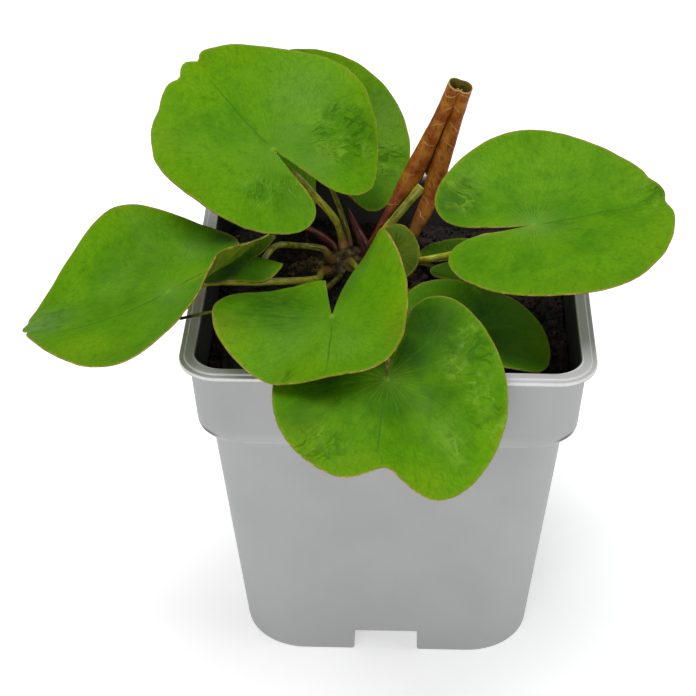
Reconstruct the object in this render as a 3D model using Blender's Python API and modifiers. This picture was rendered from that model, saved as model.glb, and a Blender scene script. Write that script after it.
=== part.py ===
"""A young water lily in a square nursery pot.

The plant grows from a short rootstock in the soil: ten open leaves on stalks, one leaf that is
still rolled, and two red shoots. Lengths below are in millimetres and angles in degrees.
The origin is the middle of the pot's flat underside, +Z is up and -Y is the pot's front.
"""
import bpy
import bmesh
from math import cos, exp, pi, radians, sin, sqrt
from mathutils import Euler, Matrix, Vector, noise

MM = 0.001
GAP = 0.35

# The pot
RIM_HALF = 55.0
RIM_CORNER = 11.0
POT_HEIGHT = 107.0
LIP_DROP = 1.7
COLLAR_TOP_HALF = 51.9
COLLAR_LOW_HALF = 50.6
COLLAR_LOW = 86.0
COLLAR_CORNER = 12.0
BODY_TOP_HALF = 47.9
BODY_TOP = 81.0
BASE_HALF = 41.2
BODY_CORNER = 17.8
WALL = 1.3
FLOOR = 1.6
CORNER_STEPS = 5

# A drain notch in the foot of each side
NOTCH_WIDTH = 18.2
NOTCH_HEIGHT = 8.0
NOTCH_DEPTH = 17.0
DRAIN_HOLE = 7.0

# The soil and the rootstock
SOIL_TOP = 89.5
SOIL_LUMP = 1.3
SOIL_STEPS = 8
CROWN_PLACE = (-12.0, 27.0, 89.0)
CROWN_RADII = (9.5, 7.5, 6.0)
FOOT_GAP = 0.6

# The leaves
BLADE_THICKNESS = 0.8
LOBE_ROUNDING = 30.0
BLADE_RINGS = 5
BLADE_STEPS = 30
RISE = 2.0

# The colours, as the photo shows them
LEAF_GREEN = (0.13, 0.32, 0.012)
SHADE_GREEN = (0.045, 0.14, 0.008)
GREY_GREEN = (0.16, 0.23, 0.09)
STALK_GREEN = (0.27, 0.29, 0.03)
DARK_STALK = (0.11, 0.14, 0.015)
ROLL_BROWN = (0.28, 0.10, 0.03)
SHOOT_RED = (0.12, 0.015, 0.015)
SOIL_BROWN = (0.02, 0.012, 0.008)
CROWN_BROWN = (0.08, 0.06, 0.02)
POT_GREY = (0.37, 0.37, 0.37)

# Each blade: where its stalk meets it, which way the midrib points, how far it rises and rolls,
# half the angle of the slit, how square the lobes' ends are, and then nine spokes from the right
# lobe round the tip to the left lobe, with each one's length and its lift above the blade's plane.
# The right lobe may have a slit and a cut of its own. A dent is a shallow bite in the margin: its
# direction, its half width and its depth.
SPOKES = (-135, -90, -45, 0, 45, 90, 135)
LEAVES = {
    "leaf_back_left": dict(navel=(-33, 14, 136), heading=140, rise=23, roll=-11, slit=10, cut=0.4,
                           reach=(29, 30, 32, 33, 35, 34, 31, 30, 29), lift=(0, -4, 7, 4, 6, -2, 4, 2, 1),
                           dents=((-0.5, 3, 2.2), (12, 3.5, 1.9), (29, 4, 0.7))),
    "leaf_back": dict(navel=(-23, 44, 117.6), heading=115, rise=41, roll=3, slit=17, cut=0.4,
                      reach=(27, 26, 31, 33, 33, 31, 27, 24, 23), lift=(5, 1, 0, 2, 2, 0, 0, 0, 0)),
    "leaf_left": dict(navel=(-58.7, -30.4, 117.3), heading=207, rise=-18, roll=3, slit=13.5, cut=0.0,
                      right_slit=8.0, right_cut=0.35,
                      reach=(24, 28, 31, 42, 38, 34, 25, 20, 23), lift=(-1, -1, 12, -3, 8, 5, 10, 13, 7)),
    "leaf_front_left": dict(navel=(-14.4, -47.3, 121.4), heading=-90, rise=-16, roll=10, slit=11, cut=0.2,
                            reach=(18, 24, 30, 26, 24, 23, 21, 22, 29),
                            lift=(-6, -7, 7, 0, 5, 2, 9, 14, -9)),
    "leaf_front": dict(navel=(0, -64.3, 114), heading=-96, rise=-22, roll=-10, slit=9, cut=0.5,
                       reach=(28, 29, 28, 31, 34, 33, 32, 30, 30), lift=(-19, -16, -8, -2, 3, -10, -4, 2, 3),
                       dents=((7, 14, 7.4),)),
    "leaf_low_right": dict(navel=(18, -23.3, 100.8), heading=-25, rise=-1, roll=-6, slit=12, cut=0.4,
                           reach=(23, 24, 25, 26, 27, 25, 25, 24, 23), lift=(0, 0, 0, 4, -3, 0, 2, 3, -3)),
    "leaf_right": dict(navel=(38.5, -9.7, 127), heading=6, rise=9, roll=0, slit=8, cut=0.5,
                       reach=(27, 29, 32, 36.3, 37.6, 30, 29, 29, 28), lift=(1, -1, -2, -4, 0, 9, 13, 8, 1),
                       dents=((15, 3, 0.8), (0, 4, 1.4))),
    "leaf_small_left": dict(navel=(-37.3, -10.5, 116), heading=201, rise=-3, roll=7, slit=25, cut=0.1,
                            reach=(9, 10, 10, 14, 16, 13, 10, 9, 6), lift=(3, 2, 0, 2, -3, -1, -3, -1, -5)),
    "leaf_small_middle": dict(navel=(0.5, 10, 104.5), heading=75, rise=50, roll=0, slit=8, cut=0.3,
                              reach=(7, 8, 8, 8, 9, 7, 5, 5, 5), lift=(1, 1, 1, 0, 0, 0, 1, 1, 1)),
    "leaf_small_right": dict(navel=(18.5, 19.3, 97.3), heading=20, rise=0, roll=0, slit=10, cut=0.4,
                             reach=(10, 11, 11, 11, 12, 11, 11, 11, 10), lift=(0, 0, 0, 1, 0, 1, 0, 0, 0)),
}
LEAF_COLOURS = {
    "leaf_low_right": SHADE_GREEN,
    "leaf_small_left": SHADE_GREEN,
    "leaf_small_middle": GREY_GREEN,
    "leaf_small_right": GREY_GREEN,
}

# Each stalk: the leaf it carries, its thickness, where round the rootstock it starts and how steeply,
# and the points it passes on its way
STALKS = {
    "stalk_back_left": dict(leaf="leaf_back_left", width=2.1, foot=(118, 58),
                            via=((-16.5, 27, 105.5), (-22.2, 20.5, 117.5), (-28, 16, 127.5))),
    "stalk_back": dict(leaf="leaf_back", width=1.6, foot=(95, 25),
                       via=((-14, 37, 98), (-19, 45, 107))),
    "stalk_left": dict(leaf="leaf_left", width=2.1, foot=(222, 16),
                       via=((-21.5, 13, 94), (-36.5, -2.5, 102.6), (-51, -14, 109.3))),
    "stalk_front_left": dict(leaf="leaf_front_left", width=1.7, foot=(272, 48),
                             via=((-8.6, 4, 101.5), (-9.5, -22, 111))),
    "stalk_front": dict(leaf="leaf_front", width=1.8, foot=(290, 26), neck=1.6, drop=0.6,
                        via=((-6, 8, 96.5), (-2.5, -22, 104.5), (0, -51, 109.2))),
    "stalk_low_right": dict(leaf="leaf_low_right", width=1.5, foot=(302, 16),
                            via=((3, 10, 93.8), (14, -10, 95.3))),
    "stalk_right": dict(leaf="leaf_right", width=2.0, foot=(335, 24),
                        via=((7.7, 13.5, 100.3), (17, 8, 106), (30, -3, 117))),
    "stalk_small_left": dict(leaf="leaf_small_left", width=1.8, foot=(212, 48),
                             via=((-20, 22.6, 98.3), (-27.5, 18, 102.2), (-33, 6, 109))),
    "stalk_small_middle": dict(leaf="leaf_small_middle", width=1.2, foot=(312, 45),
                               via=((-3, 17, 96.5),)),
    "stalk_small_right": dict(leaf="leaf_small_right", width=1.3, foot=(5, 14),
                              via=((4, 26, 92.7), (13, 21.5, 93.3))),
}

# The rolled leaf: its two halves are rolled up side by side, and each lobe tapers to a tail. A taper
# is a list of places along the tube and how thick it is there. The mouth is an oval hollow at the top.
ROLL_LEFT = ((-6.9, 20.5, 101), (1.6, 29, 112.5), (5.9, 31, 119), (12.3, 32, 134), (17.2, 32.4, 146.5))
ROLL_RIGHT = ((5.3, 21.5, 102), (10.8, 29.5, 111.5), (13.2, 31.4, 120.5), (17.2, 32.2, 134.5),
              (20.6, 32.4, 145.5))
ROLL_WIDTH = 5.6
ROLL_TAPER = ((0.0, 0.2, 0.45, 0.75, 1.0), (0.3, 0.62, 1.0, 0.8, 0.76))
ROLL_MOUTH = (2.4, 1.2)
ROLL_MOUTH_LENGTH = 10.0

# The rolled leaf's stalk, two pointed shoots and the stub of a leaf that is gone
SHORT_TUBES = {
    "stalk_rolled": dict(width=2.4, foot=(40, 38), spacing=4.0,
                         via=((-3.4, 29.5, 99), (0.4, 31, 103.4), (8.4, 35, 112.4))),
    "shoot_upright": dict(width=2.8, foot=(345, 66), spacing=3.0,
                          taper=((0.0, 0.35, 0.75, 1.0), (0.9, 1.0, 0.6, 0.12)),
                          via=((-10.6, 27.5, 103), (-12.7, 27.5, 109.3))),
    "shoot_left": dict(width=2.4, foot=(150, 52), spacing=3.5,
                       taper=((0.0, 0.35, 0.75, 1.0), (0.9, 1.0, 0.7, 0.15)),
                       via=((-24.3, 30.5, 100), (-33, 33, 102))),
    "cut_stalk": dict(width=1.6, foot=(252, 14), spacing=5.6,
                      via=((-21, 4, 95), (-48.4, -25.5, 107.5), (-56, -30.5, 108.6))),
}


def clear_scene():
    for item in list(bpy.data.objects):
        bpy.data.objects.remove(item)


def new_collection(name):
    group = bpy.data.collections.new(name)
    bpy.context.scene.collection.children.link(group)
    return group


def colour(name, base, roughness):
    material = bpy.data.materials.new(name)
    material.use_nodes = True
    shader = material.node_tree.nodes["Principled BSDF"]
    shader.inputs["Base Color"].default_value = (*base, 1.0)
    shader.inputs["Roughness"].default_value = roughness
    return material


def add_object(name, data, group, material=None):
    item = bpy.data.objects.new(name, data)
    group.objects.link(item)
    if material:
        data.materials.append(material)
    return item


def through(x, places, values):
    """A smooth curve that passes every given value at its place."""
    last = len(places) - 1
    slopes = []
    for i in range(last + 1):
        low, high = max(i - 1, 0), min(i + 1, last)
        slopes.append((values[high] - values[low]) / (places[high] - places[low]))
    i = 0
    while i < last - 1 and x > places[i + 1]:
        i += 1
    span = places[i + 1] - places[i]
    u = (x - places[i]) / span
    return ((1 + 2 * u) * (1 - u) ** 2 * values[i] + u * (1 - u) ** 2 * span * slopes[i]
            + u * u * (3 - 2 * u) * values[i + 1] + u * u * (u - 1) * span * slopes[i + 1])


def rings_to_mesh(name, rings, scale=MM):
    """Skin closed rings of equal count one after another, with a flat cap at each end."""
    mesh = bmesh.new()
    loops = [[mesh.verts.new(Vector(point) * scale) for point in ring] for ring in rings]
    count = len(loops[0])
    for low, high in zip(loops, loops[1:]):
        for i in range(count):
            j = (i + 1) % count
            mesh.faces.new((low[i], low[j], high[j], high[i]))
    mesh.faces.new(list(reversed(loops[0])))
    mesh.faces.new(loops[-1])
    bmesh.ops.recalc_face_normals(mesh, faces=mesh.faces)
    data = bpy.data.meshes.new(name)
    mesh.to_mesh(data)
    mesh.free()
    return data


def square_ring(half, corner, height, lump=0.0):
    """A square with round corners, walked anticlockwise from the front's right corner."""
    points = []
    for quarter, (sx, sy) in enumerate(((1, -1), (1, 1), (-1, 1), (-1, -1))):
        for step in range(CORNER_STEPS + 1):
            angle = pi / 2 * (quarter - 1 + step / CORNER_STEPS)
            x = sx * (half - corner) + corner * cos(angle)
            y = sy * (half - corner) + corner * sin(angle)
            z = height + lump * noise.noise(Vector((x, y, 0)) / 7.0)
            points.append((x, y, z))
    return points


def body_half(height):
    """Half the width of the tapered body, outside, at a height."""
    return BASE_HALF + (BODY_TOP_HALF - BASE_HALF) * height / BODY_TOP


def box(name, low, high, group):
    mesh = bmesh.new()
    bmesh.ops.create_cube(mesh, size=1.0)
    size = Vector(high) - Vector(low)
    middle = (Vector(high) + Vector(low)) / 2
    for vertex in mesh.verts:
        vertex.co = Vector((vertex.co.x * size.x, vertex.co.y * size.y, vertex.co.z * size.z)) + middle
    bmesh.ops.scale(mesh, vec=(MM, MM, MM), verts=mesh.verts)
    data = bpy.data.meshes.new(name)
    mesh.to_mesh(data)
    mesh.free()
    return add_object(name, data, group)


def hide_cutter(item):
    item.hide_render = True
    item.display_type = "WIRE"


def boolean(item, cutter, operation):
    hide_cutter(cutter)
    modifier = item.modifiers.new(cutter.name, "BOOLEAN")
    modifier.object = cutter
    modifier.operation = operation
    modifier.solver = "EXACT"


def four_sides(name, low, high, group):
    """The same box at the foot of the front, right, back and left side."""
    items = []
    for quarter in range(4):
        item = box(name + "_" + str(quarter), low, high, group)
        item.data.transform(Matrix.Rotation(quarter * pi / 2, 4, "Z"))
        items.append(item)
    return items


def make_pot(group, cutters):
    lip = POT_HEIGHT - LIP_DROP
    rim_inner = RIM_HALF - 2.9
    rings = [
        square_ring(BASE_HALF - 1.0, BODY_CORNER - 1.0, 0.0),
        square_ring(body_half(1.0), BODY_CORNER, 1.0),
        square_ring(BODY_TOP_HALF, BODY_CORNER, BODY_TOP),
        square_ring(BODY_TOP_HALF + 1.6, BODY_CORNER - 1.5, BODY_TOP + 1.3),
        square_ring(COLLAR_LOW_HALF, COLLAR_CORNER + 1.0, COLLAR_LOW),
        square_ring(COLLAR_TOP_HALF, COLLAR_CORNER, lip),
        square_ring(RIM_HALF - 0.4, RIM_CORNER, lip),
        square_ring(RIM_HALF, RIM_CORNER, lip + 0.4),
        square_ring(RIM_HALF, RIM_CORNER, POT_HEIGHT - 0.5),
        square_ring(RIM_HALF - 0.6, RIM_CORNER, POT_HEIGHT),
        square_ring(rim_inner + 0.3, RIM_CORNER - 2.0, POT_HEIGHT),
        square_ring(rim_inner - 0.3, RIM_CORNER - 2.0, POT_HEIGHT - 0.6),
        square_ring(COLLAR_TOP_HALF - WALL, COLLAR_CORNER - WALL, lip - 1.5),
        square_ring(COLLAR_LOW_HALF - WALL, COLLAR_CORNER - WALL, COLLAR_LOW + 1.0),
        square_ring(BODY_TOP_HALF - WALL, BODY_CORNER - WALL, BODY_TOP - 1.0),
        square_ring(body_half(FLOOR) - WALL, BODY_CORNER - WALL, FLOOR),
    ]
    pot = add_object("pot", rings_to_mesh("pot", rings), group, colour("pot_plastic", POT_GREY, 0.42))
    half = NOTCH_WIDTH / 2
    wall_middle = BASE_HALF - WALL / 2
    inner_end = BASE_HALF - NOTCH_DEPTH
    housings = four_sides("notch_housing", (-half - WALL, -wall_middle, 0.4),
                          (half + WALL, -inner_end + WALL, NOTCH_HEIGHT + WALL), cutters)
    notches = four_sides("notch", (-half, -RIM_HALF, -2.0), (half, -inner_end, NOTCH_HEIGHT), cutters)
    for housing in housings:
        boolean(pot, housing, "UNION")
    for notch in notches:
        boolean(pot, notch, "DIFFERENCE")
    for quarter in range(4):
        mesh = bmesh.new()
        bmesh.ops.create_cone(mesh, cap_ends=True, segments=12, radius1=DRAIN_HOLE / 2 * MM,
                              radius2=DRAIN_HOLE / 2 * MM, depth=6 * MM)
        data = bpy.data.meshes.new("drain")
        mesh.to_mesh(data)
        mesh.free()
        drain = add_object("drain_" + str(quarter), data, cutters)
        reach = BASE_HALF - NOTCH_DEPTH / 2
        angle = quarter * pi / 2
        drain.location = (reach * sin(angle) * MM, -reach * cos(angle) * MM, (NOTCH_HEIGHT + WALL / 2) * MM)
        boolean(pot, drain, "DIFFERENCE")
    return pot


def crown_mesh(name, grow=0.0):
    """The rootstock is a squat lump; grow makes the pit that it sits in."""
    mesh = bmesh.new()
    bmesh.ops.create_uvsphere(mesh, u_segments=14, v_segments=8, radius=1.0)
    radii = [r + grow for r in CROWN_RADII]
    for vertex in mesh.verts:
        point = Vector([vertex.co[i] * radii[i] for i in range(3)])
        vertex.co = (point + Vector(CROWN_PLACE)) * MM
    data = bpy.data.meshes.new(name)
    mesh.to_mesh(data)
    mesh.free()
    return data


def make_soil(group, cutters):
    """The root ball fills the pot, and its top is lumpy."""
    inset = WALL + GAP
    rings = [
        square_ring(body_half(FLOOR) - inset, BODY_CORNER - inset, FLOOR + GAP),
        square_ring(BODY_TOP_HALF - inset - 0.1, BODY_CORNER - inset, BODY_TOP - 1.2),
        square_ring(COLLAR_LOW_HALF - inset - 0.9, COLLAR_CORNER + 2.0, COLLAR_LOW - 0.5),
        square_ring(COLLAR_LOW_HALF - inset - 1.2, COLLAR_CORNER + 2.0, SOIL_TOP - 1.0, SOIL_LUMP),
    ]
    for step in range(1, SOIL_STEPS):
        share = 1 - step / SOIL_STEPS
        half = (COLLAR_LOW_HALF - inset - 2.0) * share
        rings.append(square_ring(half, (COLLAR_CORNER + 2.0) * share, SOIL_TOP, SOIL_LUMP * 1.4))
    soil = add_object("soil", rings_to_mesh("soil", rings), group, colour("soil", SOIL_BROWN, 0.95))
    half = NOTCH_WIDTH / 2 + WALL + GAP
    blocks = four_sides("soil_over_notch", (-half, -RIM_HALF, -2.0),
                        (half, -BASE_HALF + NOTCH_DEPTH + WALL + GAP, NOTCH_HEIGHT + WALL + GAP), cutters)
    for block in blocks:
        boolean(soil, block, "DIFFERENCE")
    pit = add_object("crown_pit", crown_mesh("crown_pit", GAP), cutters)
    boolean(soil, pit, "DIFFERENCE")
    return soil


def make_crown(group):
    return add_object("rootstock", crown_mesh("rootstock"), group, colour("rootstock", CROWN_BROWN, 0.8))


def blade_turn(leaf):
    return Euler((radians(leaf["roll"]), radians(-leaf["rise"]), radians(leaf["heading"]))).to_matrix()


def blade_point(leaf, t, along):
    """A point of the upper side: t runs from the right lobe, -1, to the left lobe, 1."""
    end = 180 - leaf["slit"]
    start = 180 - leaf.get("right_slit", leaf["slit"])
    places = (-start,) + SPOKES + (end,)
    own_end, cut = (end, leaf["cut"]) if t > 0 else (start, leaf.get("right_cut", leaf["cut"]))
    direction = t * own_end
    length = through(direction, places, leaf["reach"])
    turn = max(0.0, (abs(direction) - (own_end - LOBE_ROUNDING)) / LOBE_ROUNDING)
    length *= 1 - cut * (1 - sqrt(max(0.0, 1 - turn ** 2.5)))
    for at, width, depth in leaf.get("dents", ()):
        length -= depth * exp(-((direction - at) / width) ** 2)
    lift = through(direction, places, leaf["lift"]) * along ** RISE
    angle = radians(direction)
    return Vector((along * length * cos(angle), along * length * sin(angle), lift))


def make_blade(name, leaf, group):
    rings, steps = (BLADE_RINGS, BLADE_STEPS) if max(leaf["reach"]) > 20 else (3, 18)
    mesh = bmesh.new()
    navel = mesh.verts.new((0, 0, 0))
    rows = []
    for ring in range(1, rings + 1):
        along = ring / rings
        row = []
        for step in range(steps + 1):
            row.append(mesh.verts.new(blade_point(leaf, 2 * step / steps - 1, along) * MM))
        rows.append(row)
    for step in range(steps):
        mesh.faces.new((navel, rows[0][step], rows[0][step + 1]))
        for low, high in zip(rows, rows[1:]):
            mesh.faces.new((low[step], high[step], high[step + 1], low[step + 1]))
    data = bpy.data.meshes.new(name)
    mesh.to_mesh(data)
    mesh.free()
    data.shade_smooth()
    blade = add_object(name, data, group, colour(name, LEAF_COLOURS.get(name, LEAF_GREEN), 0.4))
    blade.location = Vector(leaf["navel"]) * MM
    blade.rotation_euler = Euler((radians(leaf["roll"]), radians(-leaf["rise"]), radians(leaf["heading"])))
    shell = blade.modifiers.new("thickness", "SOLIDIFY")
    shell.thickness = BLADE_THICKNESS * MM
    shell.offset = -1.0
    return blade


def crown_foot(bearing, climb):
    """Where a stalk leaves the rootstock, and the way straight out of it there."""
    flat = cos(radians(climb))
    way = Vector((flat * cos(radians(bearing)), flat * sin(radians(bearing)), sin(radians(climb))))
    surface = Vector([way[i] * CROWN_RADII[i] for i in range(3)])
    out = Vector([way[i] / CROWN_RADII[i] for i in range(3)]).normalized()
    return Vector(CROWN_PLACE) + surface + out * FOOT_GAP, out


def smooth_path(points, spacing):
    """Points a given distance apart on one smooth curve through the few that are given."""
    points = [Vector(point) for point in points]
    lengths = [0.0]
    for a, b in zip(points, points[1:]):
        lengths.append(lengths[-1] + (b - a).length)
    count = max(3, round(lengths[-1] / spacing))
    path = []
    for i in range(count + 1):
        at = lengths[-1] * i / count
        path.append(Vector([through(at, lengths, [point[k] for point in points]) for k in range(3)]))
    return path


def make_tube(name, points, width, group, material, taper=None, spacing=5.6):
    curve = bpy.data.curves.new(name, "CURVE")
    curve.dimensions = "3D"
    curve.bevel_depth = width / 2 * MM
    curve.bevel_resolution = 2
    curve.use_fill_caps = True
    curve.resolution_u = 1
    curve.render_resolution_u = 0
    path = smooth_path(points, spacing)
    spline = curve.splines.new("POLY")
    spline.points.add(len(path) - 1)
    for i, (item, point) in enumerate(zip(spline.points, path)):
        item.co = (*(point * MM), 1.0)
        if taper:
            item.radius = through(i / (len(path) - 1), *taper)
    return add_object(name, curve, group, material)


def make_stalk(name, stalk, group, material):
    leaf = LEAVES[stalk["leaf"]]
    normal = blade_turn(leaf) @ Vector((0, 0, 1))
    navel = Vector(leaf["navel"])
    top = navel - normal * (BLADE_THICKNESS + GAP + stalk.get("drop", 0.2))
    foot, out = crown_foot(*stalk["foot"])
    neck = stalk.get("neck", 4.0)
    points = [foot, foot + out * 2.5, *stalk["via"], top - normal * neck, top]
    return make_tube(name, points, stalk["width"], group, material)


def mesh_from_curve(item, group, material):
    """A curve takes no Boolean, so its evaluated tube becomes a mesh with its caps welded on."""
    graph = bpy.context.evaluated_depsgraph_get()
    data = bpy.data.meshes.new_from_object(item.evaluated_get(graph))
    name = item.name
    place = item.matrix_world.copy()
    bpy.data.objects.remove(item)
    mesh = bmesh.new()
    mesh.from_mesh(data)
    bmesh.ops.remove_doubles(mesh, verts=mesh.verts, dist=1e-6)
    bmesh.ops.recalc_face_normals(mesh, faces=mesh.faces)
    mesh.to_mesh(data)
    mesh.free()
    data.materials.clear()
    tube = add_object(name, data, group, material)
    tube.matrix_world = place
    return tube


def make_rolled_leaf(group, cutters):
    brown = colour("rolled_leaf", ROLL_BROWN, 0.5)
    left = make_tube("rolled_leaf", ROLL_LEFT, ROLL_WIDTH, group, None, ROLL_TAPER, 4.0)
    right = make_tube("rolled_half", ROLL_RIGHT, ROLL_WIDTH, cutters, None, ROLL_TAPER, 4.0)
    bpy.context.view_layer.update()
    left = mesh_from_curve(left, group, brown)
    right = mesh_from_curve(right, cutters, None)
    boolean(left, right, "UNION")
    top = (Vector(ROLL_LEFT[-1]) + Vector(ROLL_RIGHT[-1])) / 2
    low = (Vector(ROLL_LEFT[-2]) + Vector(ROLL_RIGHT[-2])) / 2
    mesh = bmesh.new()
    bmesh.ops.create_cone(mesh, cap_ends=True, segments=16, radius1=MM, radius2=MM,
                          depth=ROLL_MOUTH_LENGTH * MM)
    data = bpy.data.meshes.new("roll_mouth")
    mesh.to_mesh(data)
    mesh.free()
    turn = (top - low).to_track_quat("Z", "Y").to_matrix().to_4x4()
    data.transform(Matrix.Translation(top * MM) @ turn @ Matrix.Diagonal((*ROLL_MOUTH, 1.0, 1.0)))
    boolean(left, add_object("roll_mouth", data, cutters), "DIFFERENCE")
    return left


def make_short_tubes(group):
    colours = {
        "stalk_rolled": colour("stalk_rolled", STALK_GREEN, 0.4),
        "shoot_upright": colour("shoot", SHOOT_RED, 0.35),
        "shoot_left": colour("second_shoot", SHOOT_RED, 0.35),
        "cut_stalk": colour("stub", DARK_STALK, 0.6),
    }
    for name, tube in SHORT_TUBES.items():
        foot, out = crown_foot(*tube["foot"])
        points = [foot, foot + out * 2.0, *tube["via"]]
        make_tube(name, points, tube["width"], group, colours[name], tube.get("taper"), tube["spacing"])


def main():
    clear_scene()
    group = new_collection("water_lily")
    cutters = new_collection("cutters")
    make_pot(group, cutters)
    make_soil(group, cutters)
    make_crown(group)
    for name, leaf in LEAVES.items():
        make_blade(name, leaf, group)
    stalk_colour = colour("stalk", STALK_GREEN, 0.4)
    for name, stalk in STALKS.items():
        make_stalk(name, stalk, group, stalk_colour)
    make_rolled_leaf(group, cutters)
    make_short_tubes(group)


main()
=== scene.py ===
"""A young potted water lily, dressed for its picture on the solids of its frame.

Lengths are in millimetres and angles in degrees, and MM turns a length into metres.
"""
import bmesh
import bpy
import numpy as np
from math import cos, pi, radians, sin
from mathutils import Euler, Matrix, Vector, noise


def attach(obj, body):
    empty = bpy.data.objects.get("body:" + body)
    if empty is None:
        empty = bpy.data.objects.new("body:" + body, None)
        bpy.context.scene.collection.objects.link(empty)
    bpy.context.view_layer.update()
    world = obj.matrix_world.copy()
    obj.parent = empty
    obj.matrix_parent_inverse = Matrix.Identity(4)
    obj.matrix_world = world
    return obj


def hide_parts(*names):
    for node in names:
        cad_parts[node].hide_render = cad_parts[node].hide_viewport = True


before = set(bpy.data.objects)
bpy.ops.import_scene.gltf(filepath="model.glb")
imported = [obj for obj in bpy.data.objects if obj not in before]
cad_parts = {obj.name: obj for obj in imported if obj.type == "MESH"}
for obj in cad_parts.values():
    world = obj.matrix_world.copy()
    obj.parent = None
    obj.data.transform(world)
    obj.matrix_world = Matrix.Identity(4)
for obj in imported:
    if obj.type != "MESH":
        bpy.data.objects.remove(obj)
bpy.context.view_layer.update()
MM = 0.001


# The picture: a pale table under soft daylight lamps, seen from above the pot's front edge.
# The lens, the height and the slight turn are those of the photograph.
FRAME_PIXELS = 696
FOCAL_PIXELS = 2043
SENSOR = 36.0
EYE = (5.8, -484.4, 413.1)
PITCH, YAW, ROLL = radians(34.59), radians(-2.11), radians(-0.32)

camera_data = bpy.data.cameras.new("camera")
camera_data.sensor_width = SENSOR
camera_data.lens = FOCAL_PIXELS / FRAME_PIXELS * SENSOR
camera_data.clip_start = 0.01
camera = bpy.data.objects.new("camera", camera_data)
bpy.context.scene.collection.objects.link(camera)
ahead = Vector((sin(YAW) * cos(PITCH), cos(YAW) * cos(PITCH), -sin(PITCH)))
level = Vector((cos(YAW), -sin(YAW), 0))
upright = level.cross(ahead)
right = cos(ROLL) * level + sin(ROLL) * upright
up = cos(ROLL) * upright - sin(ROLL) * level
camera.matrix_world = Matrix.Translation(Vector(EYE) * MM) @ Matrix((right, up, -ahead)).transposed().to_4x4()
bpy.context.scene.camera = camera

TABLE_HALF = 4000
LAMPS = {
    "overhead": dict(place=(-250, 50, 2000), size=1500, power=24.0),
    "front": dict(place=(-500, -1900, 800), size=1400, power=13.0),
    "right": dict(place=(1900, -500, 700), size=1200, power=7.5),
}
LIT_POINT = (0, 0, 90)
SKY = (0.95, 0.97, 1.0)
SKY_STRENGTH = 0.25
TABLE_GLOW = 0.45

world = bpy.data.worlds.new("daylight")
world.use_nodes = True
world.node_tree.nodes["Background"].inputs["Color"].default_value = (*SKY, 1)
world.node_tree.nodes["Background"].inputs["Strength"].default_value = SKY_STRENGTH
bpy.context.scene.world = world
bpy.context.scene.view_settings.view_transform = "Standard"
for name, lamp in LAMPS.items():
    light = bpy.data.lights.new(name, "AREA")
    light.shape = "DISK"
    light.size = lamp["size"] * MM
    light.energy = lamp["power"]
    holder = bpy.data.objects.new(name, light)
    holder.location = Vector(lamp["place"]) * MM
    holder.rotation_euler = (Vector(LIT_POINT) - Vector(lamp["place"])).to_track_quat("-Z", "Y").to_euler()
    bpy.context.scene.collection.objects.link(holder)


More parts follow.
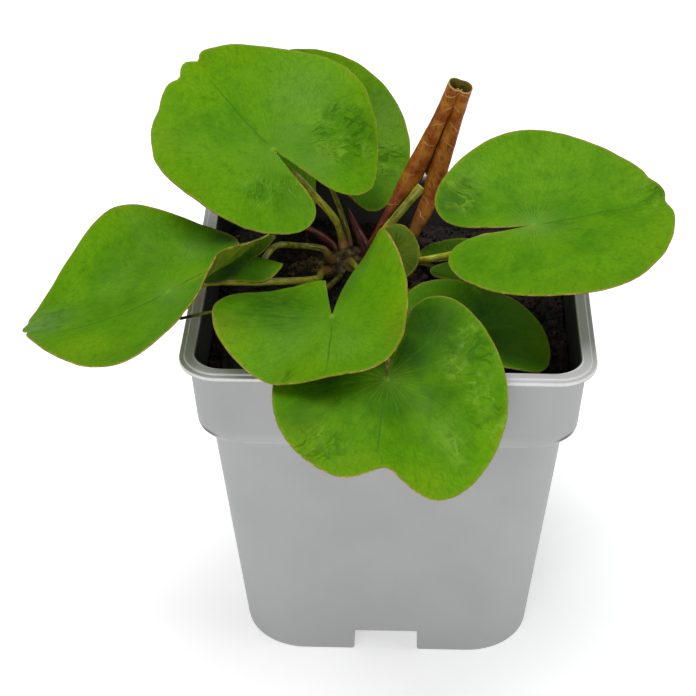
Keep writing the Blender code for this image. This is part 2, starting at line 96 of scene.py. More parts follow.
class Wire:
    """A socket in a node tree. Sums and products of wires add Math nodes to the tree."""

    def __init__(self, tree, socket=None):
        self.tree = tree
        self.socket = socket

    def node(self, kind, inputs=None, settings=None, output=0):
        made = self.tree.nodes.new(kind)
        for name, value in (settings or {}).items():
            if name == "stops":
                ramp = made.color_ramp.elements
                while len(ramp) < len(value):
                    ramp.new(0.5)
                for stop, (place, shade) in zip(ramp, value):
                    stop.position = place
                    stop.color = (*shade, 1)
            else:
                setattr(made, name, value)
        for name, value in (inputs or {}).items():
            if isinstance(value, Wire):
                self.tree.links.new(value.socket, made.inputs[name])
            else:
                made.inputs[name].default_value = value
        return Wire(self.tree, made.outputs[output])

    def maths(self, operation, *others):
        return self.node("ShaderNodeMath", dict(enumerate((self, *others))), {"operation": operation})

    def __add__(self, other):
        return self.maths("ADD", other)

    def __mul__(self, other):
        return self.maths("MULTIPLY", other)

    def __sub__(self, other):
        return self.maths("SUBTRACT", other)

    def __rsub__(self, other):
        return self * -1.0 + other

    def __truediv__(self, other):
        return self.maths("DIVIDE", other)

    def __pow__(self, other):
        return self.maths("POWER", other)

    __radd__ = __add__
    __rmul__ = __mul__

    def size(self):
        return self.maths("ABSOLUTE")

    def step(self, start, end):
        """0 up to start and 1 from end on, with a smooth rise between; start may be the larger."""
        return self.node("ShaderNodeMapRange", {0: self, 1: start, 2: end},
                         {"interpolation_type": "SMOOTHSTEP"})

    def off_line(self, spacing):
        """How far a number is from the nearest whole multiple of the spacing."""
        return ((self / spacing + 0.5).maths("FLOORED_MODULO", 1.0) - 0.5).size() * spacing

    def parts(self):
        """The three numbers in a vector."""
        split = self.tree.nodes.new("ShaderNodeSeparateXYZ")
        self.tree.links.new(self.socket, split.inputs[0])
        return [Wire(self.tree, socket) for socket in split.outputs]

    def vector(self, x, y, z):
        return self.node("ShaderNodeCombineXYZ", {0: x, 1: y, 2: z})

    def scaled(self, x, y, z):
        return self.node("ShaderNodeVectorMath", {0: self, 1: (x, y, z)}, {"operation": "MULTIPLY"})

    def place(self):
        return self.node("ShaderNodeTexCoord", output="Object")

    def attribute(self, name, output="Vector"):
        return self.node("ShaderNodeAttribute", settings={"attribute_name": name}, output=output)

    def noise(self, at, lump, detail=2.0, rough=0.5):
        """Smooth noise from 0 to 1, about 0.5, with lumps of the given size in the units of at."""
        return self.node("ShaderNodeTexNoise",
                         {"Vector": at, "Scale": 1 / lump, "Detail": detail, "Roughness": rough})

    def cells(self, at):
        """How far each place is from the walls of irregular cells that are one unit across."""
        return self.node("ShaderNodeTexVoronoi", {"Vector": at, "Scale": 1.0},
                         {"feature": "DISTANCE_TO_EDGE"}, output="Distance")

    def tint(self, base, other, share):
        """A colour, or a wire of one, with a share of another mixed in."""
        inputs = {"Factor": share}
        for socket, value in ((6, base), (7, other)):
            inputs[socket] = value if isinstance(value, Wire) else (*value, 1)
        return self.node("ShaderNodeMix", inputs, {"data_type": "RGBA"}, output=2)

    def painted(self, base, *coats):
        """A colour with coats over it, one after another, each a colour and its share."""
        for colour, share in coats:
            base = self.tint(base, colour, share)
        return base

    def bump(self, height, depth, strength=1.0, below=None):
        inputs = {"Height": height, "Distance": depth, "Strength": strength}
        if below:
            inputs["Normal"] = below
        return self.node("ShaderNodeBump", inputs)


def new_finish(name, **fixed):
    """A material whose Principled shader has some fixed values, and a wire to start its nodes from."""
    material = bpy.data.materials.new(name)
    material.use_nodes = True
    shader = material.node_tree.nodes["Principled BSDF"]
    for socket, value in fixed.items():
        shader.inputs[socket.replace("_", " ")].default_value = value
    return material, Wire(material.node_tree)


def coat_with(material, **wires):
    shader = material.node_tree.nodes["Principled BSDF"]
    for socket, wire in wires.items():
        material.node_tree.links.new(wire.socket, shader.inputs[socket.replace("_", " ")])


def mesh_from(name, shape):
    """Plain mesh data from a bmesh, which is freed."""
    data = bpy.data.meshes.new(name)
    shape.to_mesh(data)
    shape.free()
    return data


table_finish, wire = new_finish("table_paper", Roughness=0.9, Emission_Color=(1, 1, 1, 1),
                                Emission_Strength=TABLE_GLOW)
fleck = wire.noise(wire.place(), 30 * MM)
coat_with(table_finish, Base_Color=wire.tint((0.93, 0.93, 0.93), (0.95, 0.95, 0.95), fleck))
sheet = bmesh.new()
bmesh.ops.create_grid(sheet, x_segments=1, y_segments=1, size=TABLE_HALF * MM)
table_data = mesh_from("table", sheet)
table_data.materials.append(table_finish)
table = bpy.data.objects.new("table", table_data)
bpy.context.scene.collection.objects.link(table)


# The pot: a thin square nursery pot, injection moulded in grey polypropylene in one shot. Its body
# tapers to the foot, a deeper collar and a turned-out lip stiffen the top, and a drain notch in the
# foot of each side runs in under the floor, with a hole in its roof.
RIM_HALF, POT_HEIGHT, LIP_DROP = 55.0, 107.0, 1.7
COLLAR_TOP, COLLAR_LOW, COLLAR_FOOT = 52.3, 50.9, 84.6
BODY_TOP_HALF, BODY_TOP, BASE_HALF = 47.9, 81.0, 41.2
BODY_CORNER, SHOULDER_CORNER, COLLAR_CORNER, RIM_CORNER = 17.8, 12.0, 8.0, 11.0
WALL, FLOOR = 1.3, 1.6
CORNER_STEPS, SIDE_STEPS, ROUND_STEPS = 14, 10, 4
NOTCH_HALF, NOTCH_HEIGHT, NOTCH_DEPTH, NOTCH_ROUND = 9.1, 8.0, 17.0, 1.7
DRAIN_RADIUS, DRAIN_SIDES, DRAIN_CUT = 3.5, 32, 8.0
WALL_BOW, BOW_HEIGHT = 0.25, 20.0
SMOOTH_ANGLE = radians(32)


def square_ring(half, corner, height, bow=0.0):
    """A square with round corners, walked anticlockwise; bow draws the middle of each side in."""
    points = []
    straight = half - corner
    for quarter in range(4):
        middle = Matrix.Rotation(quarter * pi / 2, 3, "Z") @ Vector((straight, -straight, 0))
        for step in range(CORNER_STEPS + 1):
            angle = pi / 2 * (quarter - 1 + step / CORNER_STEPS)
            points.append(middle + Vector((corner * cos(angle), corner * sin(angle), height)))
        for step in range(1, SIDE_STEPS):
            along = 2 * step / SIDE_STEPS - 1
            side = Vector((half - bow * (1 - along * along), straight * along, height))
            points.append(Matrix.Rotation(quarter * pi / 2, 3, "Z") @ side)
    return points


def eased(stations):
    """Round off a profile: each station is a place and how far from it the rounding starts."""
    stations = [(Vector(station[:-1]), station[-1]) for station in stations]
    line = [stations[0][0]]
    for (before, _), (here, radius), (after, _) in zip(stations, stations[1:], stations[2:]):
        start = here + (before - here).normalized() * min(radius, (before - here).length / 2)
        end = here + (after - here).normalized() * min(radius, (after - here).length / 2)
        for step in range(ROUND_STEPS + 1):
            u = step / ROUND_STEPS
            line.append((1 - u) ** 2 * start + 2 * u * (1 - u) * here + u * u * end)
    line.append(stations[-1][0])
    return line


def skinned(name, *solids):
    """Closed solids in one mesh, each given as rings of equal count to skin one after another."""
    shape = bmesh.new()
    for rings in solids:
        loops = [[shape.verts.new(Vector(point) * MM) for point in ring] for ring in rings]
        count = len(loops[0])
        for low, high in zip(loops, loops[1:]):
            for i in range(count):
                j = (i + 1) % count
                shape.faces.new((low[i], low[j], high[j], high[i]))
        shape.faces.new(list(reversed(loops[0])))
        shape.faces.new(loops[-1])
    bmesh.ops.recalc_face_normals(shape, faces=shape.faces)
    return mesh_from(name, shape)


def add_piece(name, data, finish, slot, *nodes):
    """A finished mesh joins the object, in place of the nodes that it stands for."""
    piece = bpy.data.objects.new(name, data)
    bpy.context.scene.collection.objects.link(piece)
    data.materials.clear()
    data.materials.append(finish)
    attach(piece, "root")
    if nodes:
        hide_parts(*nodes)
    return piece


def four_prisms(name, outline, low, high):
    """Four like prisms, each an outline across a side of the pot run in from its front."""
    turns = [Matrix.Rotation(quarter * pi / 2, 3, "Z") for quarter in range(4)]
    return skinned(name, *([[turn @ Vector((x, y, z)) for x, z in outline] for y in (low, high)]
                           for turn in turns))


def cut(data, *tools):
    """Join and cut a mesh with others, in order, and return the plain result."""
    work = bpy.data.objects.new("work", data)
    bpy.context.scene.collection.objects.link(work)
    used = [work]
    for tool_data, operation in tools:
        tool = bpy.data.objects.new("tool", tool_data)
        bpy.context.scene.collection.objects.link(tool)
        used.append(tool)
        modifier = work.modifiers.new("cut", "BOOLEAN")
        modifier.object = tool
        modifier.operation = operation
    result = bpy.data.meshes.new_from_object(work.evaluated_get(bpy.context.evaluated_depsgraph_get()))
    for item in used:
        bpy.data.objects.remove(item)
    return result


def body_half(height):
    return BASE_HALF + (BODY_TOP_HALF - BASE_HALF) * height / BODY_TOP


LIP_HEIGHT = POT_HEIGHT - LIP_DROP
POT_PROFILE = (
    (BASE_HALF - 3, BODY_CORNER - 3, 0, 0),
    (BASE_HALF, BODY_CORNER, 0, 1.3),
    (BODY_TOP_HALF - 0.05, SHOULDER_CORNER, BODY_TOP - 0.9, 0.1),
    (BODY_TOP_HALF + 0.15, SHOULDER_CORNER, BODY_TOP - 0.6, 0.12),
    (BODY_TOP_HALF + 0.2, SHOULDER_CORNER, BODY_TOP, 0.12),
    (BODY_TOP_HALF + 1.8, SHOULDER_CORNER - 2, BODY_TOP + 0.8, 0.8),
    (COLLAR_LOW, COLLAR_CORNER, COLLAR_FOOT, 2.2),
    (COLLAR_TOP, COLLAR_CORNER, LIP_HEIGHT - 0.1, 0.4),
    (RIM_HALF, RIM_CORNER, LIP_HEIGHT, 0.3),
    (RIM_HALF, RIM_CORNER, POT_HEIGHT - 0.5, 0.35),
    (RIM_HALF - 1.2, RIM_CORNER - 1, POT_HEIGHT - 0.45, 0.2),
    (RIM_HALF - 1.5, RIM_CORNER - 1.2, POT_HEIGHT, 0.25),
    (RIM_HALF - 4.0, RIM_CORNER - 3, POT_HEIGHT, 0.5),
    (COLLAR_TOP - WALL, COLLAR_CORNER - WALL, LIP_HEIGHT - 1.5, 0.8),
    (COLLAR_LOW - WALL, COLLAR_CORNER - WALL, COLLAR_FOOT + 1, 2.0),
    (BODY_TOP_HALF - WALL, SHOULDER_CORNER - WALL, BODY_TOP - 1, 2.0),
    (body_half(FLOOR) - WALL, BODY_CORNER - WALL, FLOOR, 2.0),
    (BASE_HALF - 8, BODY_CORNER - 8, FLOOR, 0),
)
pot_rings = [square_ring(half, corner, z, WALL_BOW * min(1, z / BOW_HEIGHT))
             for half, corner, z in eased(POT_PROFILE)]
inner_end = -BASE_HALF + NOTCH_DEPTH
side = NOTCH_HALF + WALL
housing = [(-side, 0.4), (side, 0.4), (side, NOTCH_HEIGHT + WALL), (-side, NOTCH_HEIGHT + WALL)]
notch = [(-NOTCH_HALF, NOTCH_HEIGHT), (-NOTCH_HALF, NOTCH_ROUND)]
for step in range(1, ROUND_STEPS + 1):
    angle = pi / 2 * step / ROUND_STEPS
    notch.append((-NOTCH_HALF - NOTCH_ROUND * (1 - cos(angle)), NOTCH_ROUND * (1 - sin(angle))))
notch.append((notch[-1][0], -2))
notch += [(-x, z) for x, z in reversed(notch)]
drains = bmesh.new()
drain_place = Vector((0, NOTCH_DEPTH / 2 - BASE_HALF, NOTCH_HEIGHT)) * MM
for quarter in range(4):
    spot = Matrix.Rotation(quarter * pi / 2, 4, "Z") @ Matrix.Translation(drain_place)
    bmesh.ops.create_cone(drains, cap_ends=True, segments=DRAIN_SIDES, radius1=DRAIN_RADIUS * MM,
                          radius2=DRAIN_RADIUS * MM, depth=DRAIN_CUT * MM, matrix=spot)
pot_data = cut(skinned("pot", pot_rings),
               (four_prisms("housing", housing, -BASE_HALF + WALL / 2, inner_end + WALL), "UNION"),
               (four_prisms("notch", notch, -RIM_HALF, inner_end), "DIFFERENCE"),
               (mesh_from("drains", drains), "DIFFERENCE"))
pot_data.shade_smooth()
pot_data.set_sharp_from_angle(angle=SMOOTH_ANGLE)

# Clouded grey, scuffed and splashed low down, with painted highlights along the rim's edges and the shoulder
# line, the rim's top painted paler as lit from above, and painted shade on the inner wall under the rim. Each
# highlight line is its distance out from the middle of the corner's round, and where its highlight starts and
# is full.
RIM_HIGHLIGHT_LINES = ((7.85, 0.25, 0.08), (9.2, 0.3, 0.1), (5.35, 0.4, 0.1))
COLLAR_LEAN = 0.063

pot_finish, wire = new_finish("grey_polypropylene", Specular_IOR_Level=0.45)
place = wire.place()
x, y, z = place.parts()
height = z / MM
cloud = wire.noise(place, 22 * MM, detail=3.0)
grain = wire.noise(place, 0.5 * MM, detail=2.0)
drawn = wire.noise(place.scaled(1, 1, 0.08), 1.2 * MM, detail=3.0)
scuff = wire.noise(place.scaled(1, 1, 0.35), 2.4 * MM, detail=6.0, rough=0.7).step(0.66, 0.8)
splash = wire.noise(place, 5 * MM, detail=5.0, rough=0.65).step(0.6, 0.75) * height.step(14.0, 0.0)
corner = [(axis.size() / MM - RIM_HALF + RIM_CORNER - 0.3).maths("MAXIMUM", 0.0) for axis in (x, y)]
outward = (corner[0] ** 2 + corner[1] ** 2) ** 0.5 - (height - COLLAR_FOOT) * COLLAR_LEAN
rim_top = height.step(LIP_HEIGHT + 0.2, LIP_HEIGHT + 0.6)
# Painted highlights along the rim's edges and along the shoulder line below the collar.
painted_edge_highlight = rim_top * sum((outward - line).size().step(start, full) for line, start, full in RIM_HIGHLIGHT_LINES)
painted_edge_highlight = painted_edge_highlight + (height - BODY_TOP + 0.3).size().step(0.35, 0.15) * 0.3
inside = outward.step(6.1, 5.8) * height.step(COLLAR_FOOT - 1, COLLAR_FOOT)
grey = wire.painted(
    wire.tint((0.322, 0.323, 0.325), (0.345, 0.346, 0.348), cloud.step(0.3, 0.7)),
    ((0.55, 0.55, 0.55), scuff * 0.25),
    ((0.26, 0.24, 0.21), splash * 0.3),
    # Painted light: the rim's top face, lit from above, is painted paler.
    ((0.56, 0.56, 0.555), rim_top * 0.75),
    ((0.80, 0.80, 0.79), painted_edge_highlight * (0.35 + 0.5 * drawn)),
    # Painted shade: the inner wall under the rim, shaded by the leaves and the rim, is painted near black.
    ((0.012, 0.011, 0.009), inside * height.step(POT_HEIGHT, 104.0) * (0.8 + 0.2 * cloud)),
)
coat_with(pot_finish, Base_Color=grey, Roughness=0.4 + 0.12 * cloud + 0.08 * scuff,
          Normal=wire.bump(drawn, 0.05 * MM, 0.5, below=wire.bump(grain, 0.03 * MM, 0.6)))
add_piece("pot_moulding", pot_data, pot_finish, "pot_plastic", "pot")


# The soil: dark peat and bark compost, filled in loose and settled by watering. The block stays as
# it is in the frame; a rough crust lies on it, and loose crumbs of two sizes lie on the crust.
SOIL_TOP, SOIL_LUMP, SOIL_LUMP_SIZE = 89.5, 1.82, 7.0
CRUST_HALF, CRUST_RINGS = 49.0, 46
CROWN_PLACE, CROWN_RADII = (-12.0, 27.0, 89.0), (9.5, 7.5, 6.0)


def lumps(x, y, size, z=0.0):
    return noise.noise(Vector((x / size, y / size, z)))


def soil_height(x, y):
    """The crust follows the block's own lumps, a little above them, and breaks up into clods."""
    clod = 1 - abs(lumps(x, y, 2.6, 5.0)) * 2
    return SOIL_TOP + SOIL_LUMP * lumps(x, y, SOIL_LUMP_SIZE) + 0.5 + 0.9 * clod + 0.5 * lumps(x, y, 0.9, 9.0)


crust_rings = [square_ring(CRUST_HALF - 0.6, COLLAR_CORNER - 1, SOIL_TOP - 3)]
for step in range(CRUST_RINGS):
    share = 1 - step / CRUST_RINGS
    ring = square_ring(CRUST_HALF * share, (COLLAR_CORNER - 1) * share, 0)
    crust_rings.append([(x, y, soil_height(x, y)) for x, y, _ in ring])
crust_data = skinned("soil_crust", crust_rings)
crust_data.shade_smooth()

soil_finish, wire = new_finish("peat", Specular_IOR_Level=0.45)
place = wire.place()
patch = wire.noise(place, 3.5 * MM, detail=4.0)
fibre = wire.noise(place, 0.6 * MM, detail=5.0, rough=0.7)
brown = wire.node("ShaderNodeValToRGB", {0: patch}, {"stops": (
    (0.0, (0.001, 0.0008, 0.0006)), (0.47, (0.0045, 0.003, 0.002)), (0.62, (0.035, 0.015, 0.008)),
    (0.75, (0.15, 0.065, 0.03)))})
brown = wire.tint(brown, (0.20, 0.11, 0.055), fibre.step(0.62, 0.75) * patch.step(0.42, 0.6) * 0.6)
coat_with(soil_finish, Base_Color=brown, Roughness=0.25 + 0.8 * fibre, Normal=wire.bump(fibre, 0.35 * MM))
for slot_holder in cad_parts["soil"].material_slots:
    slot_holder.material = soil_finish
add_piece("soil_crust", crust_data, soil_finish, "soil")

CRUMB_SHAPES = 5
CRUMBS = {
    "soil_crumbs": dict(Spacing=1.7, Amount=900000.0, Smallest=0.4, Largest=1.3, Seed=3),
    "soil_clods": dict(Spacing=3.0, Amount=90000.0, Smallest=0.9, Largest=2.1, Seed=8),
}


def crumb_shapes():
    """A collection of a few angular lumps of about one millimetre half size."""
    group = bpy.data.collections.new("crumbs")
    for kind in range(CRUMB_SHAPES):
        shape = bmesh.new()
        bmesh.ops.create_uvsphere(shape, u_segments=6, v_segments=5, radius=1.0)
        for vertex in shape.verts:
            push = 1 + 0.75 * noise.noise(vertex.co * 1.3 + Vector((kind * 7.0, 0, 0)))
            vertex.co = vertex.co * Vector((1.15, 0.9, 0.75)) * push * MM
        group.objects.link(bpy.data.objects.new("crumb", mesh_from("crumb", shape)))
    return group


def new_tree(name, **sockets):
    """A tree of geometry nodes, and wires from its inputs: the geometry and then those named."""
    tree = bpy.data.node_groups.new(name, "GeometryNodeTree")
    for label, kind in {"Geometry": "Geometry", **sockets}.items():
        tree.interface.new_socket(label, in_out="INPUT", socket_type="NodeSocket" + kind)
    tree.interface.new_socket("Geometry", in_out="OUTPUT", socket_type="NodeSocketGeometry")
    given = tree.nodes.new("NodeGroupInput")
    return tree, [Wire(tree, given.outputs[i]) for i in range(len(sockets) + 1)]


def ended(tree, made, finish):
    """Close a tree: its instances become real, take their material and leave it."""
    real = made.node("GeometryNodeRealizeInstances", {0: made})
    done = made.node("GeometryNodeSetMaterial", {"Geometry": real, "Material": finish})
    tree.links.new(done.socket, tree.nodes.new("NodeGroupOutput").inputs[0])
    return tree


def scatter_tree(group, finish):
    """Geometry nodes that strew the shapes of a collection over a mesh."""
    tree, (host, spacing, amount, smallest, largest, seed) = new_tree(
        "strew_crumbs", Spacing="Float", Amount="Float", Smallest="Float", Largest="Float", Seed="Int")
    places = host.node("GeometryNodeDistributePointsOnFaces",
                       {"Mesh": host, "Distance Min": spacing * MM, "Density Max": amount, "Seed": seed},
                       {"distribute_method": "POISSON"})
    shapes = host.node("GeometryNodeCollectionInfo",
                       {"Collection": group, "Separate Children": True, "Reset Children": True})
    turn = host.node("FunctionNodeRandomValue",
                     {0: (0, 0, 0), 1: (2 * pi, 2 * pi, 2 * pi), "Seed": seed},
                     {"data_type": "FLOAT_VECTOR"})
    swell = host.node("FunctionNodeRandomValue", {2: 0.0, 3: 1.0, "Seed": seed}, {"data_type": "FLOAT"},
                      output=1)
    strewn = host.node("GeometryNodeInstanceOnPoints",
                       {"Points": places, "Instance": shapes, "Pick Instance": True, "Rotation": turn,
                        "Scale": smallest + (largest - smallest) * swell ** 2.5})
    return ended(tree, strewn, finish)


def grown(host_data, tree, **values):
    """Run a tree of geometry nodes on a mesh or curve and return the plain mesh that it makes."""
    host = bpy.data.objects.new("host", host_data)
    bpy.context.scene.collection.objects.link(host)
    modifier = host.modifiers.new("grow", "NODES")
    modifier.node_group = tree
    for item in tree.interface.items_tree:
        if item.in_out == "INPUT" and item.name in values:
            modifier[item.identifier] = values[item.name]
    data = bpy.data.meshes.new_from_object(host.evaluated_get(bpy.context.evaluated_depsgraph_get()))
    host.modifiers.remove(modifier)
    bpy.data.objects.remove(host)
    return data


crumb_tree = scatter_tree(crumb_shapes(), soil_finish)
for name, values in CRUMBS.items():
    crumb_data = grown(crust_data, crumb_tree, **values)
    crumb_data.shade_smooth()
    add_piece(name, crumb_data, soil_finish, "soil")


# The rootstock: a short rhizome, lumpy with the scars of old leaves and crusted with yellow-brown
# moss and grit. It sits half sunk in the soil, and every stalk grows out of it.
MOSS_PLACE, MOSS_RADII = (-23.0, 24.0, 89.0), (8.5, 6.0, 3.6)


def gritty_lump(name, place, radii, scarred, grain):
    """An ellipsoid roughened by soft scars and by grains on its skin."""
    shape = bmesh.new()
    bmesh.ops.create_icosphere(shape, subdivisions=6, radius=1.0)
    for vertex in shape.verts:
        unit = vertex.co.copy()
        scar = 1 - abs(noise.noise(unit * 2.6)) * 2
        grit = noise.noise(unit * 9) * 0.5 + noise.noise(unit * 22) * 0.25
        body = unit * Vector(radii) * (1 - scarred + scarred * scar)
        vertex.co = (Vector(place) + body + unit * grain * grit) * MM
    data = mesh_from(name, shape)
    data.shade_smooth()
    return data


crown_finish, wire = new_finish("mossy_rhizome", Specular_IOR_Level=0.5)
place = wire.place()
patch = wire.noise(place, 2.2 * MM, detail=4.0)
fine = wire.noise(place, 0.5 * MM, detail=4.0, rough=0.7)
moss = wire.node("ShaderNodeValToRGB", {0: patch}, {"stops": (
    (0.32, (0.015, 0.009, 0.005)), (0.46, (0.09, 0.055, 0.018)), (0.57, (0.24, 0.17, 0.035)),
    (0.72, (0.50, 0.40, 0.13)))})
coat_with(crown_finish, Base_Color=wire.tint(moss, (0.02, 0.012, 0.008), fine.step(0.52, 0.36) * 0.85),
          Roughness=0.2 + 0.6 * fine, Normal=wire.bump(fine, 0.3 * MM))
add_piece("rootstock_body", gritty_lump("rootstock", CROWN_PLACE, CROWN_RADII, 0.07, 0.9), crown_finish,
          "rootstock", "rootstock")
add_piece("rootstock_moss", gritty_lump("moss", MOSS_PLACE, MOSS_RADII, 0.25, 2.2), crown_finish, "rootstock")


# The stalks: round, soft and hollow, one to each leaf. Each leaves the rootstock with a swollen
# foot and runs up to the middle of its leaf, into which it is grown.
SPOKES = (-135, -90, -45, 0, 45, 90, 135)

# A leaf is the place of its middle, the heading of its tip, how steeply the tip rises, its roll, half
# the angle of its slit, how much the ends of its lobes are cut round, and then the reach and the lift
# of nine spokes, from the right lobe's end round the tip to the left one's. A dent in the margin is
# its direction, its width and its depth. Where the right lobe has a slit or a cut of its own, it is
# given too. A stalk's foot is the bearing and the climb at which it leaves the rootstock, and its neck
# is how far it runs straight up into the leaf.
LEAVES = {
    "leaf_back_left": dict(
        navel=(-33, 14, 136), heading=140, rise=23, roll=-11, slit=10, cut=0.4,
        reach=(29, 30, 32, 33, 35, 34, 31, 30, 29), lift=(0, -4, 7, 4, 6, -2, 4, 2, 1),
        dents=((-0.5, 3, 2.2), (12, 3.5, 1.9), (29, 4, 0.7))),
    "leaf_back": dict(
        navel=(-23, 44, 117.6), heading=115, rise=41, roll=3, slit=17, cut=0.4,
        reach=(27, 26, 31, 33, 33, 31, 27, 24, 23), lift=(5, 1, 0, 2, 2, 0, 0, 0, 0)),
    "leaf_left": dict(
        navel=(-58.7, -30.4, 117.3), heading=207, rise=-18, roll=3, slit=3.5, cut=0.0, right_slit=2.0,
        right_cut=0.2, dents=((-10, 3, 1.2), (-27, 4, 0.8)), reach=(24, 28, 31, 42, 38, 34, 25, 21, 31),
        lift=(-1, -1, 12, -3, 8, 5, 10, 13, 2)),
    "leaf_front_left": dict(
        navel=(-14.4, -47.3, 121.4), heading=-90, rise=-16, roll=10, slit=11, cut=0.2, right_cut=0.0,
        reach=(18, 24, 30, 26, 24, 23, 21, 22, 29), lift=(-6, -7, 7, 0, 5, 2, 9, 14, -9)),
    "leaf_front": dict(
        navel=(0, -64.3, 114), heading=-96, rise=-22, roll=-10, slit=9, cut=0.5,
        reach=(28, 29, 28, 31, 34, 33, 32, 30, 30), lift=(-19, -16, -8, -2, 3, -10, -4, 2, 3),
        dents=((7, 14, 7.4),)),
    "leaf_low_right": dict(
        navel=(18, -23.3, 100.8), heading=-25, rise=-1, roll=-6, slit=12, cut=0.4,
        reach=(23, 24, 25, 26, 27, 25, 25, 24, 23), lift=(0, 0, 0, 4, -3, 0, 2, 3, -3)),
    "leaf_right": dict(
        navel=(38.5, -9.7, 127), heading=6, rise=9, roll=0, slit=8, cut=0.5,
        reach=(27, 29, 32, 36.3, 37.6, 30, 29, 29, 28), lift=(1, -1, -2, -4, 0, 9, 13, 8, 1),
        dents=((15, 3, 0.8), (0, 4, 1.4))),
    "leaf_small_left": dict(
        navel=(-37.3, -10.5, 116), heading=201, rise=-3, roll=7, slit=25, cut=0.1,
        reach=(9, 10, 10, 14, 16, 13, 10, 9, 6), lift=(3, 2, 0, 2, -3, -1, -3, -1, -5)),
    "leaf_small_middle": dict(
        navel=(0.5, 10, 104.5), heading=75, rise=50, roll=0, slit=8, cut=0.3,
        reach=(7, 8, 8, 8, 9, 7, 5, 5, 5), lift=(1, 1, 1, 0, 0, 0, 1, 1, 1)),
    "leaf_small_right": dict(
        navel=(18.5, 19.3, 97.3), heading=20, rise=0, roll=0, slit=10, cut=0.4,
        reach=(10, 11, 11, 11, 12, 11, 11, 11, 10), lift=(0, 0, 0, 1, 0, 1, 0, 0, 0)),
}
STALKS = {
    "stalk_back_left": dict(
        leaf="leaf_back_left", width=2.1, foot=(118, 58),
        via=((-16.5, 27, 105.5), (-22.2, 20.5, 117.5), (-28, 16, 127.5))),
    "stalk_back": dict(leaf="leaf_back", width=1.6, foot=(95, 25), via=((-14, 37, 98), (-19, 45, 107))),
    "stalk_left": dict(
        leaf="leaf_left", width=2.1, foot=(222, 16),
        via=((-21.5, 13, 94), (-36.5, -2.5, 102.6), (-51, -14, 109.3))),
    "stalk_front_left": dict(
        leaf="leaf_front_left", width=1.7, foot=(272, 48), via=((-8.6, 4, 101.5), (-9.5, -22, 111))),
    "stalk_front": dict(
        leaf="leaf_front", width=1.8, foot=(290, 26), neck=1.6,
        via=((-6, 8, 96.5), (-2.5, -22, 104.5), (0, -51, 109.2))),
    "stalk_low_right": dict(
        leaf="leaf_low_right", width=1.5, foot=(302, 16), via=((3, 10, 93.8), (14, -10, 95.3))),
    "stalk_right": dict(
        leaf="leaf_right", width=2.0, foot=(335, 24),
        via=((7.7, 13.5, 100.3), (17, 8, 106), (30, -3, 117))),
    "stalk_small_left": dict(
        leaf="leaf_small_left", width=1.8, foot=(212, 48),
        via=((-20, 22.6, 98.3), (-27.5, 18, 102.2), (-33, 6, 109))),
    "stalk_small_middle": dict(
        leaf="leaf_small_middle", width=1.2, foot=(312, 45), via=((-3, 17, 96.5),)),
    "stalk_small_right": dict(
        leaf="leaf_small_right", width=1.3, foot=(5, 14), via=((4, 26, 92.7), (13, 21.5, 93.3))),
}
STALK_SIDES, STALK_STEP, STALK_SUNK = 20, 0.8, 0.8
FOOT_SWELL, FOOT_LENGTH, NECK_SWELL, NECK_LENGTH = 0.45, 4.0, 0.25, 2.5
LEAF_THICKNESS = 0.5


def through(x, places, values):
    """A smooth curve that passes every given value at its place, read at one or many x."""
    places = np.array(places, float)
    values = np.array(values, float)
    low = np.maximum(np.arange(len(places)) - 1, 0)
    high = np.minimum(np.arange(len(places)) + 1, len(places) - 1)
    slopes = (values[high] - values[low]) / (places[high] - places[low])
    i = np.clip(np.searchsorted(places, x) - 1, 0, len(places) - 2)
    span = places[i + 1] - places[i]
    u = (x - places[i]) / span
    return ((1 + 2 * u) * (1 - u) ** 2 * values[i] + u * (1 - u) ** 2 * span * slopes[i]
            + u * u * (3 - 2 * u) * values[i + 1] + u * u * (u - 1) * span * slopes[i + 1])


def blade_turn(leaf):
    """The turn from a blade's own plane, with the midrib along x, to where it lies."""
    return Euler((radians(leaf["roll"]), radians(-leaf["rise"]), radians(leaf["heading"]))).to_matrix()


def from_crown(bearing, climb, via, clear=2.0):
    """A stalk's first points: sunk in the rootstock, straight out of it, and on the way."""
    flat = cos(radians(climb))
    way = Vector((flat * cos(radians(bearing)), flat * sin(radians(bearing)), sin(radians(climb))))
    foot = Vector(CROWN_PLACE) + way * Vector(CROWN_RADII)
    out = Vector([way[i] / CROWN_RADII[i] for i in range(3)]).normalized()
    return [foot - out * STALK_SUNK, foot + out * clear, *via]


def smooth_path(points, shares=None):
    """Places on a smooth curve through a few points, at shares of its length or evenly apart."""
    points = np.array([list(point) for point in points], float)
    lengths = np.concatenate([[0], np.cumsum(np.linalg.norm(np.diff(points, axis=0), axis=1))])
    if shares is None:
        shares = np.linspace(0, 1, max(4, round(lengths[-1] / STALK_STEP)) + 1)
    return np.stack([through(shares * lengths[-1], lengths, points[:, k]) for k in range(3)], axis=1)


def curve_along(name, path, radii):
    """A curve through the path with a radius at each place."""
    data = bpy.data.curves.new(name, "CURVE")
    data.dimensions = "3D"
    spline = data.splines.new("POLY")
    spline.points.add(len(path) - 1)
    for item, point, radius in zip(spline.points, path, radii):
        item.co = (*(point * MM), 1)
        item.radius = radius * MM
    return data


